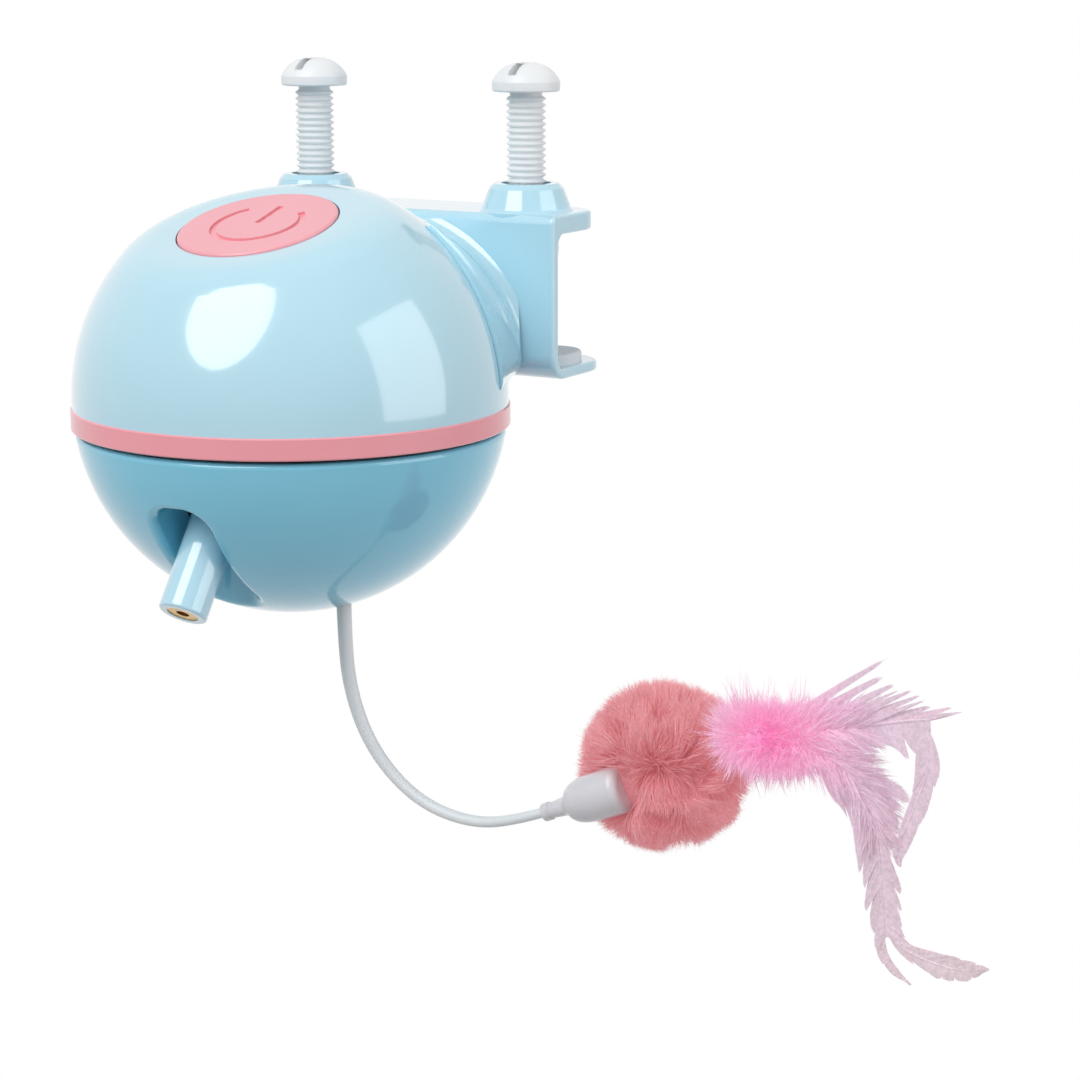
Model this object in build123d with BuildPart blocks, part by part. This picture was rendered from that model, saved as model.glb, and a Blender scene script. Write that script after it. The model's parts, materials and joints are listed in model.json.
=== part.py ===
from build123d import *
import os
from math import atan2, cos, hypot, pi, radians, sin, sqrt, tan

# Driving dimensions in millimetres. Heights are over the ball's centre, +Y is towards the table.

# Ball and its waist
ball_r = 42.0
wall = 2.0
rim_z = -1.4
band_h = 4.15
band_proud = 0.25
band_wall = 2.75
band_lip = 0.85
rotor_gap = 0.7
rim_round = 0.9

# Slanted flat with the push button
facet_tilt = 16.7
facet_cut = 7.0
facet_blend = 12.0
button_r = 15.4
button_gap = 0.25
button_proud = 0.5
button_crown = 0.7
button_rim = 1.2
button_thick = 3.5
button_travel = 0.8
stem_r = 2.5
stem_len = 2.0
guide_wall = 1.3
guide_depth = 0.6
sign_r = 8.5
sign_line = 1.3
sign_depth = 0.5
sign_open = 44.0
board_t = 1.2
switch_board_w = 14.0
switch_board_end = 2.8
switch_depth = 9.4
switch_body = 6.0
switch_body_h = 2.0
plunger_r = 1.75
plunger_gap = 0.05

# Clamp: the web cuts the ball's back, and the lip, flange, pad and screws are set out from it
bracket_inset = 5.0
web_inset = 4.7
web_t = 2.4
lip_bottom = 0.1
lip_t = 2.1
lip_len = 24.7
lip_corner = 9.0
flange_top = 32.8
flange_t = 3.85
flange_len = 20.7
flange_corner = 7.0
heel_r = 5.0
brow_r = 1.6
inner_r = 2.5
neck_y = 10.5
neck_proud = 0.83
neck_taper = 11.2
neck_blend = 2.4
neck_skirt = 0.2
neck_under_r = 4.5
neck_fade = 18.0
neck_dip = 0.1
neck_sunk = 0.4
edge_round = 0.7
pad_t = 2.7
pad_sunk = 0.4
pad_round = 0.6
pad_margin = 1.6
pad_from_web = 0.9
pad_w = 16.4
pad_corner = 7.0
screw_x = 25.3
screw_from_web = 7.4
bracket_screw_at = [(-11.0, 6.0), (11.0, 6.0), (0.0, 14.0)]
bracket_screw_len = 8.0
bracket_boss_r = 3.2
bracket_boss_len = 7.0
boss_h = 5.5
boss_top_r = 7.5
boss_root_r = 9.0
boss_flare = 0.6
boss_round = 1.0
boss_bore_r = 5.0
nut_across = 13.0
nut_h = 6.5

# Clamp screws, M8 with a pitch of 1.25
thread_r = 3.95
thread_root_r = 3.25
pitch = 1.25
screw_len = 30.0
thread_end = 0.5
screw_seat = 18.1
head_r = 6.8
head_h = 5.5
slot_w = 1.8
slot_depth = 2.2
tip_r = 2.8
tip_h = 2.6
foot_r = 6.5
foot_t = 2.6
foot_cup_h = 2.2
foot_cup_r = 4.6
screw_play = 0.15
head_chamfer = 0.3
head_edge = 1.9
head_side = 4.2
foot_edge = 0.5
foot_slope = 0.7

# Chassis, gears and bearings
plate_t = 3.2
plate_drop = 0.8
plate_flange = 0.9
boss_r = 3.5
boss_inset = 7.0
boss_angles = (90, 210, 330)
gear_module = 0.7
gear_teeth = 44
pinion_teeth = 16
pressure_angle = 20.0
dedendum = 1.25
gear_t = 3.0
gear_backlash = 0.14
gear_lift = 1.0
gear_clear = 1.0
gear_window_r = 2.6
gear_window_at = 9.6
shaft_r = 3.0
shaft_bore = 1.5
shaft_seat = 6.0
bush_wall = 1.5
bush_flange = 0.8
bush_rim = 1.4
bush_len = 3.0
hub_wall = 2.0
hub_drop = 4.9
hub_rise = 0.8
running_gap = 0.04
clip_t = 0.6
clip_groove = 0.6
clip_wall = 1.6
clip_mouth = 2.6

# Lower half
plate_low_z = -14.0
plate_low_t = 2.0
plate_low_gap = 0.35
seat_depth = 1.5
seat_w = 2.0
column_r = 5.0
column_top = -24.0
well_r = 3.3
well_top = -30.0

# Laser
pivot_y = -23.0
pivot_z = -16.4
laser_down = 55.0
laser_swing = 35.0
tube_r = 4.65
tube_ahead = 24.0
tube_behind = 5.0
tube_chamfer = 0.5
module_r = 3.0
module_len = 14.0
module_sunk = 0.2
aperture_r = 1.25
aperture_depth = 2.5
lens_t = 0.7
lead_hole_r = 2.0
slot_clear = 0.8
slot_half = 6.2
slot_round = 5.0
slot_rim = 1.4
pocket_wall = 1.5
pocket_depth = 9.0
ear_t = 2.0
ear_gap = 0.75
trunnion_r = 1.6
washer_w = 1.6

# Wire with its lure, in the plane of X and Z: the points of its route
wire_r = 1.2
wire_hole_r = 2.3
wire_route = [
    (11.3, -31.0),
    (11.3, -44.5),
    (12.4, -57.5),
    (17.6, -69.0),
    (27.6, -77.6),
    (40.2, -80.3),
    (51.6, -77.5),
    (61.7, -73.1),
]
socket_wall = 2.2
socket_depth = 7.5
grip_len = 6.0
bell_len = 18.8
bell_r = 4.6
bell_round = 1.6
collar_r = 1.75
collar_len = 1.3
neck_thin = 1.5
shoulder = 4.6
fur_r = 15.5
fur_at = (75.3, 10.6, -65.8)
lure_y = 8.0
tuft_half = 12.0
tuft_r = 10.5
feather_t = 1.2
feather_apart = 0.4
soft_gap = 0.3

# Electrics
cell_r = 7.0
cell_end = 4.78
cell_y = 17.0
cell_z = 10.0
cell_gap = 0.15
cell_nub_r = 2.6
cell_nub = 1.5
cell_round = 0.6
saddle_from_end = 4.5
saddle_t = 4.0
saddle_half = 8.5
rail_w = 2.5
rail_h = 7.0
motor_x = 10.0
motor_y = 12.0
gearbox_h = 9.0
motor_top = 1.79
motor_shaft_r = 1.5
motor_plate_t = 1.2
motor_screw_len = 4.0
motor_pilot = 3.0
motor_lug_x = 2.5
motor_lug_y = 6.5
post_r = 2.0
board_post_r = 1.6
port_post_r = 1.4
board_w = 16.0
board_l = 19.0
board_y = -2.5
board_z = 4.5
board_inset = 8.5
board_corner = 1.5
board_post_in = 2.5
port_w = 9.2
port_h = 3.4
port_z = 7.6
port_len = 7.0
port_recess = 5.5
port_inset = 5.4
port_sunk = 0.6
port_board_w = 5.2
port_board_l = 10.6
port_post_y = 2.6

# Sliding contacts
ring_at = (8.6, 11.0, 13.4)
ring_w = 1.2
ring_t = 0.15
ring_board_t = 1.0
contact_t = 0.3
contact_gap = 0.05
contact_board_l = 17.0
contact_board_w = 9.0
contact_root = -9.5
contact_bend = -6.0

# Small fasteners: shank radius, head radius, head height
m3 = (1.5, 2.8, 1.8)
m25 = (1.25, 2.4, 1.6)
m2 = (1.0, 1.8, 1.2)
chassis_screw_len = 8.0
board_screw_len = 4.0
laser_screw_len = 3.3
bite = 0.2
sink_angle = 35
cross_w = 0.5
cross_share = 0.55
fit = 0.1
close_fit = 0.02
over = 1.0


def reach(radius, across):
    """Half of the chord of a circle at a distance from its centre."""
    return sqrt(radius**2 - across**2)


# The clamp's places over the ball's centre
web_y = ball_r - web_inset
web_back = web_y + web_t
bracket_half = ball_r - bracket_inset
lip_y = web_y + lip_len
flange_y = web_y + flange_len
neck_r = reach(ball_r, neck_y) + neck_proud
neck_root_r = neck_r - neck_taper
neck_slope = neck_taper / (web_y + neck_dip - neck_y)
neck_turn = pi / 2 + atan2(neck_slope, 1)
neck_foot_r = neck_root_r + neck_blend * tan(neck_turn / 2) + neck_skirt
pad_half = bracket_half - pad_margin
pad_y = web_back + pad_from_web + pad_w / 2
screw_y = web_back + screw_from_web
facet_h = ball_r - facet_cut
inner_ball_r = ball_r - wall

# The frame's origin is the middle of the jaw pad's upper face
pad_top = lip_bottom + lip_t - pad_sunk + pad_t
ball_y = -pad_y
ball_z = -pad_top
centre = (0, ball_y, ball_z)

level = Plane(origin=centre)
side = Plane(origin=centre, x_dir=(0, 1, 0), z_dir=(1, 0, 0))
front = Plane(origin=centre, x_dir=(1, 0, 0), z_dir=(0, -1, 0))
tilt = radians(facet_tilt)
facet = Plane(origin=centre, x_dir=(1, 0, 0), z_dir=(0, -sin(tilt), cos(tilt)))

band_bottom = rim_z - band_h
rotor_top = band_bottom - rotor_gap
plate_top = rim_z - plate_drop
plate_bottom = plate_top - plate_t
jaw_gap_top = flange_top - flange_t
boss_top = flange_top + boss_h
head_seat = boss_top + screw_seat
tip_z = head_seat - screw_len
foot_bottom = tip_z - foot_t


def at(x=0.0, y=0.0, z=0.0):
    """A point of the ball's own frame in the part's frame."""
    return (x, ball_y + y, ball_z + z)


# Upper shell: the outside and the hollow are the same form at two sizes


def dome(radius, facet_height, blend, back):
    with BuildPart() as form:
        with Locations(centre):
            Sphere(radius)
        split(bisect_by=facet.offset(facet_height), keep=Keep.BOTTOM)
        circle = form.edges().filter_by(GeomType.CIRCLE).sort_by(Axis.Z)[-1]
        fillet(circle, blend)
        split(bisect_by=level.offset(rim_z), keep=Keep.TOP)
        split(bisect_by=front.offset(-back), keep=Keep.TOP)
    return form.part


shell_out = dome(ball_r, facet_h, facet_blend, web_y)
shell_in = dome(inner_ball_r, facet_h - wall, facet_blend - wall, web_y - wall)

boss_ring_r = inner_ball_r - boss_inset
boss_at = [(boss_ring_r * cos(radians(a)), boss_ring_r * sin(radians(a))) for a in boss_angles]
switch_post_at = button_r + button_rim + post_r + soft_gap * 2
switch_posts = [(0, switch_post_at), (0, -switch_post_at)]
with BuildPart() as shell_bosses:
    with BuildSketch(level.offset(plate_top)):
        with Locations(*boss_at):
            Circle(boss_r)
    extrude(amount=inner_ball_r)
    with BuildSketch(facet.offset(facet_h - switch_depth)):
        with Locations(*switch_posts):
            Circle(post_r)
    extrude(amount=switch_depth)
    add(shell_out, mode=Mode.INTERSECT)

with BuildPart() as upper_shell:
    add(shell_out)
    add(shell_in, mode=Mode.SUBTRACT)
    add(shell_bosses.part)
    with BuildSketch(front.offset(-web_y + wall)):
        with Locations(*bracket_screw_at):
            Circle(bracket_boss_r)
    extrude(amount=bracket_boss_len)
    with BuildSketch(facet.offset(facet_h - wall)):
        Circle(button_r + button_gap + guide_wall)
        Circle(button_r + button_gap, mode=Mode.SUBTRACT)
    extrude(amount=-guide_depth)
    with BuildSketch(facet.offset(facet_h + over)):
        Circle(button_r + button_gap)
    extrude(amount=-wall - 2 * over, mode=Mode.SUBTRACT)
    with BuildSketch(facet.offset(facet_h - switch_depth)):
        with Locations(*switch_posts):
            Circle(m2[0] - bite)
    extrude(amount=board_screw_len + over, mode=Mode.SUBTRACT)
    with BuildSketch(level.offset(plate_top)):
        with Locations(*boss_at):
            Circle(m25[0] - bite)
    extrude(amount=chassis_screw_len, mode=Mode.SUBTRACT)
    with BuildSketch(front.offset(-web_y)):
        with Locations(*bracket_screw_at):
            Circle(m3[0] - bite)
    extrude(amount=bracket_boss_len, mode=Mode.SUBTRACT)
    with BuildSketch(side.offset(-ball_r)):
        with Locations((0, port_z)):
            RectangleRounded(port_w + 2 * fit, port_h + 2 * fit, port_h / 2)
    extrude(amount=wall + 3 * over, mode=Mode.SUBTRACT)

# Band: a ring held between the shell's rim and the chassis plate's flange
band_in = ball_r - band_wall
lip_in = ball_r - band_lip
with BuildPart() as band_ring:
    with BuildSketch(front):
        with BuildLine():
            Polyline(
                (band_in, rim_z),
                (ball_r, rim_z),
                (ball_r + band_proud, rim_z - band_proud),
                (ball_r + band_proud, band_bottom + band_proud),
                (ball_r, band_bottom),
                (lip_in, band_bottom),
                (lip_in, plate_bottom + plate_flange),
                (band_in, plate_bottom + plate_flange),
                close=True,
            )
        make_face()
    revolve(axis=Axis(centre, (0, 0, 1)))

# Gears


def gear_outline(teeth, turn):
    """Points round a spur gear: straight chords along involute flanks."""
    pitch_r = gear_module * teeth / 2
    base_r = pitch_r * cos(radians(pressure_angle))
    tip = pitch_r + gear_module
    root = pitch_r - dedendum * gear_module
    half_at_pitch = pi / (2 * teeth) - gear_backlash / (2 * pitch_r)

    def roll(radius):
        t = sqrt(max((radius / base_r) ** 2 - 1, 0))
        return t - atan2(t, 1)

    start = max(base_r, root)
    radii = [start + (tip - start) * i / 4 for i in range(5)]
    flank = [(r, half_at_pitch + roll(pitch_r) - roll(r)) for r in radii]
    if root < start:
        flank.insert(0, (root, flank[0][1]))
    points = []
    for tooth in range(teeth):
        middle = turn + 2 * pi * tooth / teeth
        points += [(r, middle - half) for r, half in flank]
        points += [(r, middle + half) for r, half in reversed(flank)]
    return [(r * cos(a), r * sin(a)) for r, a in points]


gear_bottom = plate_top + gear_lift
gear_top = gear_bottom + gear_t
gear_distance = gear_module * (gear_teeth + pinion_teeth) / 2
with BuildPart() as output_gear:
    with BuildSketch(level.offset(gear_bottom)):
        with BuildLine():
            Polyline(*gear_outline(gear_teeth, pi + pi / gear_teeth), close=True)
        make_face()
        with PolarLocations(gear_window_at, 6):
            Circle(gear_window_r, mode=Mode.SUBTRACT)
    extrude(amount=gear_t)
    with BuildSketch(level.offset(gear_bottom)):
        Circle(shaft_r + hub_wall)
    extrude(amount=gear_t + hub_rise)
    with BuildSketch(level.offset(gear_bottom)):
        Circle(shaft_r + close_fit)
    extrude(amount=gear_t + hub_rise, mode=Mode.SUBTRACT)

with BuildPart() as motor_pinion:
    with BuildSketch(Plane(origin=at(-gear_distance, 0, gear_bottom))):
        with BuildLine():
            Polyline(*gear_outline(pinion_teeth, 0), close=True)
        make_face()
        Circle(motor_shaft_r + close_fit, mode=Mode.SUBTRACT)
    extrude(amount=gear_t)

# Chassis plate with its bearing hub, motor posts and board posts
plate_r = band_in - fit
motor_plate_z = gear_top + gear_clear
motor_post_x = -gear_distance - motor_x / 2 - 2 * post_r
motor_post_y = motor_y / 2 + post_r
motor_post_at = [
    (motor_post_x, -motor_post_y),
    (motor_post_x, motor_post_y),
    (-gear_distance + motor_lug_x, -motor_post_y - motor_lug_y),
]
board_x = inner_ball_r - board_inset - board_w / 2
port_x = -(inner_ball_r - port_inset)
port_post_at = [(port_x, -port_post_y), (port_x, port_post_y)]
port_board_z = port_z - port_h / 2 - board_t
hub_r = shaft_r + bush_wall + hub_wall
hub_bottom = plate_bottom - hub_drop
with BuildPart() as chassis_plate:
    with BuildSketch(level.offset(plate_bottom)):
        Circle(plate_r)
    extrude(amount=plate_t)
    with BuildSketch(level.offset(plate_bottom)):
        Circle(lip_in - fit)
    extrude(amount=plate_flange)
    with BuildSketch(level.offset(plate_bottom)):
        Circle(hub_r)
    extrude(amount=-hub_drop)
    with BuildSketch(level.offset(plate_top)):
        with Locations(*motor_post_at):
            Circle(post_r)
    extrude(amount=motor_plate_z - plate_top)
    with BuildSketch(level.offset(plate_top)):
        with Locations((board_x, board_y)):
            with GridLocations(board_w - 2 * board_post_in, board_l - 2 * board_post_in, 2, 2):
                Circle(board_post_r)
    extrude(amount=board_z - plate_top)
    with BuildSketch(level.offset(plate_top)):
        with Locations(*port_post_at):
            Circle(port_post_r)
    extrude(amount=port_board_z - plate_top)
    with BuildSketch(level.offset(hub_bottom)):
        Circle(shaft_r + bush_wall + close_fit)
    extrude(amount=hub_drop + plate_t, mode=Mode.SUBTRACT)
    with BuildSketch(level.offset(plate_bottom)):
        with Locations(*boss_at):
            Circle(m25[1] + fit)
    extrude(amount=m25[2] + fit, mode=Mode.SUBTRACT)
    with BuildSketch(level.offset(plate_bottom)):
        with Locations(*boss_at):
            Circle(m25[0] + fit)
    extrude(amount=plate_t, mode=Mode.SUBTRACT)
    with BuildSketch(level.offset(motor_plate_z - motor_pilot)):
        with Locations(*motor_post_at):
            Circle(m2[0] - bite)
    extrude(amount=motor_pilot, mode=Mode.SUBTRACT)


def pan_screw(plane, places, size, length, countersunk=False):
    """Screws whose heads sit on the plane's outer side and whose shanks run inwards."""
    shank, head, height = size
    rise, taper, top = (-height, sink_angle, 0) if countersunk else (height, 0, height)
    arm = 2 * cross_share * head
    with BuildPart() as screws:
        with BuildSketch(plane):
            with Locations(*places):
                Circle(head)
        extrude(amount=rise, taper=taper)
        with BuildSketch(plane):
            with Locations(*places):
                Circle(shank - bite)
        extrude(amount=-length)
        with BuildSketch(plane.offset(top)):
            with Locations(*places):
                Rectangle(arm, cross_w)
                Rectangle(cross_w, arm)
        extrude(amount=-cross_share * height, mode=Mode.SUBTRACT)
    return screws


under = Plane(origin=centre, x_dir=(1, 0, 0), z_dir=(0, 0, -1))
chassis_screws = pan_screw(
    under.offset(-(plate_bottom + m25[2] + fit)),
    [(x, -y) for x, y in boss_at],
    m25,
    chassis_screw_len,
)
bush_r = shaft_r + bush_wall
with BuildPart() as upper_bush:
    with BuildSketch(level.offset(plate_top)):
        Circle(bush_r + bush_rim)
    extrude(amount=bush_flange)
    with BuildSketch(level.offset(plate_top)):
        Circle(bush_r)
    extrude(amount=-bush_len)
    with BuildSketch(level.offset(plate_top + bush_flange)):
        Circle(shaft_r + running_gap)
    extrude(amount=-bush_len - bush_flange, mode=Mode.SUBTRACT)

with BuildPart() as lower_bush:
    with BuildSketch(level.offset(hub_bottom)):
        Circle(bush_r + bush_rim)
    extrude(amount=-bush_flange)
    with BuildSketch(level.offset(hub_bottom)):
        Circle(bush_r)
    extrude(amount=bush_len)
    with BuildSketch(level.offset(hub_bottom - bush_flange)):
        Circle(shaft_r + running_gap)
    extrude(amount=bush_len + bush_flange, mode=Mode.SUBTRACT)

# Hollow shaft, pressed into the lower plate's hub and kept in by a clip over the gear
shaft_foot = column_top + shaft_seat
clip_z = gear_top + hub_rise
shaft_top = clip_z + clip_t + over
with BuildPart() as output_shaft:
    with BuildSketch(front):
        with BuildLine():
            Polyline(
                (shaft_bore, shaft_foot),
                (shaft_r, shaft_foot),
                (shaft_r, clip_z),
                (shaft_r - clip_groove, clip_z),
                (shaft_r - clip_groove, clip_z + clip_t),
                (shaft_r, clip_z + clip_t),
                (shaft_r, shaft_top),
                (shaft_bore, shaft_top),
                close=True,
            )
        make_face()
    revolve(axis=Axis(centre, (0, 0, 1)))

with BuildPart() as shaft_clip:
    with BuildSketch(level.offset(clip_z)):
        Circle(shaft_r + clip_wall)
        Circle(shaft_r - clip_groove + close_fit, mode=Mode.SUBTRACT)
        with Locations((0, -shaft_r - clip_wall)):
            Rectangle(clip_mouth, 2 * clip_wall + clip_groove, mode=Mode.SUBTRACT)
    extrude(amount=clip_t)

# Motor: a gearbox and a can with rounded sides, shaft downwards
with BuildPart() as motor_plate:
    with BuildSketch(level.offset(motor_plate_z)):
        with Locations(*motor_post_at):
            Circle(post_r + over)
        with Locations((-gear_distance, 0)):
            Rectangle(motor_x + over, motor_y)
        make_hull()
        with Locations((-gear_distance, 0)):
            Circle(motor_shaft_r + gear_clear, mode=Mode.SUBTRACT)
        with Locations(*motor_post_at):
            Circle(m2[0] + fit, mode=Mode.SUBTRACT)
    extrude(amount=motor_plate_t)

motor_base = motor_plate_z + motor_plate_t
motor_out = hypot(gear_distance + motor_x / 2, motor_y / 2)
motor_h = reach(inner_ball_r, motor_out) - motor_top - motor_base - gearbox_h
with BuildPart() as gear_motor:
    with BuildSketch(level.offset(motor_base)):
        with Locations((-gear_distance, 0)):
            Rectangle(motor_x, motor_y)
    extrude(amount=gearbox_h)
    with BuildSketch(level.offset(motor_base + gearbox_h)):
        with Locations((-gear_distance, 0)):
            Circle(motor_y / 2)
            Rectangle(motor_x, motor_y + over, mode=Mode.INTERSECT)
    extrude(amount=motor_h)
    with BuildSketch(level.offset(motor_base)):
        with Locations((-gear_distance, 0)):
            Circle(motor_shaft_r - running_gap)
    extrude(amount=-(motor_base - gear_bottom))

motor_screws = pan_screw(level.offset(motor_base), motor_post_at, m2, motor_screw_len)

# Boards: the main one carries a flat chip, a can and two plug sockets
chip_w = 7.0
chip_h = 1.2
can_r = 2.0
can_h = 3.0
plug_w = 1.6
with BuildPart() as main_board:
    with BuildSketch(level.offset(board_z)):
        with Locations((board_x, board_y)):
            RectangleRounded(board_w, board_l, board_corner)
    extrude(amount=board_t)
    with BuildSketch(level.offset(board_z + board_t)):
        with Locations((board_x - 0.5, board_y - 1.5)):
            Rectangle(chip_w, chip_w)
    extrude(amount=chip_h)
    with BuildSketch(level.offset(board_z + board_t)):
        with Locations((board_x - 2.5, board_y + 5.3)):
            Circle(can_r)
        with Locations((board_x + 0.5, board_y - 7.5)):
            Rectangle(chip_w - 3, plug_w)
        with Locations((board_x + 5.5, board_y + 0.5)):
            Rectangle(plug_w, chip_w - 1)
    extrude(amount=can_h)

with BuildPart() as port_board:
    with BuildSketch(level.offset(port_board_z)):
        with Locations((port_x, 0)):
            RectangleRounded(port_board_w, port_board_l, board_corner / 2)
    extrude(amount=board_t)

port_mouth = reach(ball_r, port_z) - port_sunk
port_shell = 0.3
with BuildPart() as usb_port:
    with BuildSketch(side.offset(-port_mouth)):
        with Locations((0, port_z)):
            RectangleRounded(port_w, port_h, port_h / 2 - 0.05)
    extrude(amount=port_len)
    with BuildSketch(side.offset(-port_mouth)):
        with Locations((0, port_z)):
            RectangleRounded(
                port_w - 2 * port_shell, port_h - 2 * port_shell, port_h / 2 - port_shell - 0.05
            )
    extrude(amount=port_recess, mode=Mode.SUBTRACT)
    with BuildSketch(side.offset(-port_mouth + port_recess)):
        with Locations((0, port_z)):
            Rectangle(port_w - 8 * port_shell, 2 * port_shell)
    extrude(amount=-port_recess + 2 * port_shell)

with BuildPart() as switch_board:
    with BuildSketch(facet.offset(facet_h - switch_depth)):
        RectangleRounded(switch_board_w, 2 * (switch_post_at + switch_board_end), board_corner)
        with Locations(*switch_posts):
            Circle(m2[0] + fit, mode=Mode.SUBTRACT)
    extrude(amount=-board_t)

stem_bottom = facet_h + button_proud - button_thick - stem_len
plunger_top = stem_bottom - button_travel - plunger_gap
with BuildPart() as tact_switch:
    with BuildSketch(facet.offset(facet_h - switch_depth)):
        RectangleRounded(switch_body, switch_body, 0.4)
    extrude(amount=switch_body_h)
    with BuildSketch(facet.offset(facet_h - switch_depth)):
        Circle(plunger_r)
    extrude(amount=plunger_top - facet_h + switch_depth)

under_board = Plane(origin=centre, x_dir=(1, 0, 0), z_dir=(0, sin(tilt), -cos(tilt)))
board_under_z = -(facet_h - switch_depth - board_t)
board_screws = pan_screw(under_board.offset(board_under_z), switch_posts, m2, board_screw_len)

# Button: a crowned disc with a rim under the shell, a stem and a standby sign
button_top = facet_h + button_proud
button_back = facet_h - wall - 1.5
rim_top = facet_h - wall - guide_depth
rim_t = 0.9
with BuildPart() as power_button:
    with BuildSketch(facet.offset(facet_h - wall)):
        Circle(button_r)
    extrude(amount=wall + button_proud)
    fillet(power_button.faces().filter_by(facet).sort_by(Axis.Z)[-1].edges(), button_crown)
    with BuildSketch(facet.offset(rim_top)):
        Circle(button_r + button_rim)
    extrude(amount=-rim_t)
    with BuildSketch(facet.offset(button_back)):
        Circle(button_r)
    extrude(amount=facet_h - wall - button_back)
    with BuildSketch(facet.offset(button_back)):
        Circle(stem_r)
    extrude(amount=stem_bottom - button_back)
    with BuildSketch(facet.offset(button_top)):
        Circle(sign_r + sign_line / 2)
        Circle(sign_r - sign_line / 2, mode=Mode.SUBTRACT)
        with BuildLine():
            far = 2 * sign_r
            wide = far * tan(radians(sign_open))
            Polyline((0, 0), (wide, far), (-wide, far), close=True)
        make_face(mode=Mode.SUBTRACT)
        with Locations((0, sign_r / 2)):
            Rectangle(sign_line, sign_r)
    extrude(amount=-sign_depth, mode=Mode.SUBTRACT)

# Battery in its cradle of two saddles and a rail, clear of the gear
cell_out = hypot(cell_y, cell_z) + cell_r
cell_len = 2 * (reach(inner_ball_r, cell_out) - cell_end)
saddle_x = cell_len / 2 - saddle_from_end
with BuildPart() as battery_cradle:
    for x in (-saddle_x, saddle_x):
        with BuildSketch(side.offset(x - saddle_t / 2)):
            with Locations((cell_y, (plate_top + cell_z) / 2)):
                Rectangle(2 * saddle_half, cell_z - plate_top)
        extrude(amount=saddle_t)
    with BuildSketch(side.offset(-saddle_x)):
        with Locations((cell_y + saddle_half - rail_w / 2, plate_top + rail_h / 2)):
            Rectangle(rail_w, rail_h)
    extrude(amount=2 * saddle_x)
    with BuildSketch(side.offset(-saddle_x - saddle_t)):
        with Locations((cell_y, cell_z)):
            Circle(cell_r + cell_gap)
    extrude(amount=2 * saddle_x + 2 * saddle_t, mode=Mode.SUBTRACT)

with BuildPart() as battery_cell:
    with BuildSketch(side.offset(-cell_len / 2)):
        with Locations((cell_y, cell_z)):
            Circle(cell_r)
    extrude(amount=cell_len - cell_nub)
    fillet(battery_cell.edges().filter_by(GeomType.CIRCLE), cell_round)
    with BuildSketch(side.offset(cell_len / 2 - cell_nub)):
        with Locations((cell_y, cell_z)):
            Circle(cell_nub_r)
    extrude(amount=cell_nub)

# Clamp bracket: a bent channel with a neck round the ball and a boss for each screw
lip_top = lip_bottom + lip_t
heel_z = lip_bottom + heel_r
screw_places = [(-screw_x, screw_y), (screw_x, screw_y)]


def corner(outline, x, y):
    """The vertex of a flat outline at a place."""
    return outline.vertices().filter_by(lambda v: hypot(v.X - x, v.Y - y) < 0.01)


def neck_trim(low, high):
    """Ends the neck's form at two heights and clears the ball from it."""
    split(bisect_by=level.offset(low), keep=Keep.TOP)
    split(bisect_by=level.offset(high), keep=Keep.BOTTOM)
    with Locations(centre):
        Sphere(ball_r + close_fit, mode=Mode.SUBTRACT)


def beside_middle(edge):
    """Whether an edge lies to one side of the middle plane."""
    return abs(edge.center().X) > neck_under_r


# The neck's cone is rounded below and runs on into the heel's lower part
neck_end = web_y + heel_r + neck_sunk
with BuildPart() as neck_cone:
    with BuildSketch(side):
        with BuildLine():
            Polyline(
                (neck_y, 0),
                (neck_y, neck_r),
                (neck_end, neck_r - neck_slope * (neck_end - neck_y)),
                (neck_end, 0),
                close=True,
            )
        make_face()
    revolve(axis=Axis(centre, (0, 1, 0)))
    split(bisect_by=level.offset(lip_bottom), keep=Keep.TOP)
    fillet(neck_cone.faces().sort_by(Axis.Z)[0].edges().filter_by(beside_middle), neck_under_r)
    with BuildSketch(level.offset(lip_bottom + lip_t / 2)):
        with Locations((0, web_y + neck_sunk)):
            Rectangle(2 * neck_r, heel_r, align=(Align.CENTER, Align.MIN))
    extrude(amount=flange_top, mode=Mode.SUBTRACT)
    neck_trim(lip_bottom, flange_top)

# The blend with the web runs up to the brow, and fades out where the heel begins to round
fade_x = reach(neck_foot_r, neck_fade)
fade_root_x = reach(neck_root_r, heel_z)
with BuildPart() as neck_blending:
    with BuildSketch(side) as profile:
        with BuildLine():
            Polyline(
                (neck_y, 0),
                (neck_y, neck_r),
                (web_y + neck_dip, neck_root_r),
                (web_y + neck_dip, neck_foot_r),
                (web_y + neck_sunk, neck_foot_r),
                (web_y + neck_sunk, 0),
                close=True,
            )
        make_face()
        fillet(corner(profile, web_y + neck_dip, neck_root_r), neck_blend)
    revolve(axis=Axis(centre, (0, 1, 0)))
    for hand in (-1, 1):
        up_web = Vector(hand * (fade_x - fade_root_x), 0, neck_fade - heel_z)
        up_cone = Vector(hand * neck_slope * fade_root_x / neck_root_r, -1, neck_slope * heel_z / neck_root_r)
        fade_from = at(hand * fade_root_x, web_y, heel_z)
        split(bisect_by=Plane(origin=fade_from, z_dir=up_web.cross(up_cone) * hand), keep=Keep.BOTTOM)
    neck_trim(heel_z, flange_top - brow_r)


def plan_corners(top, thick, end, radius):
    """Rounds the far corners of a plate that runs from the web to its end."""
    with BuildSketch(level.offset(top)) as plan:
        with Locations((0, end - radius)):
            Rectangle(2 * (bracket_half + over), radius + over, align=(Align.CENTER, Align.MIN))
        with Locations((0, end - 2 * radius)):
            RectangleRounded(2 * bracket_half, 4 * radius, radius, mode=Mode.SUBTRACT)
    extrude(plan.sketch, amount=-thick, mode=Mode.SUBTRACT)


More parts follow.
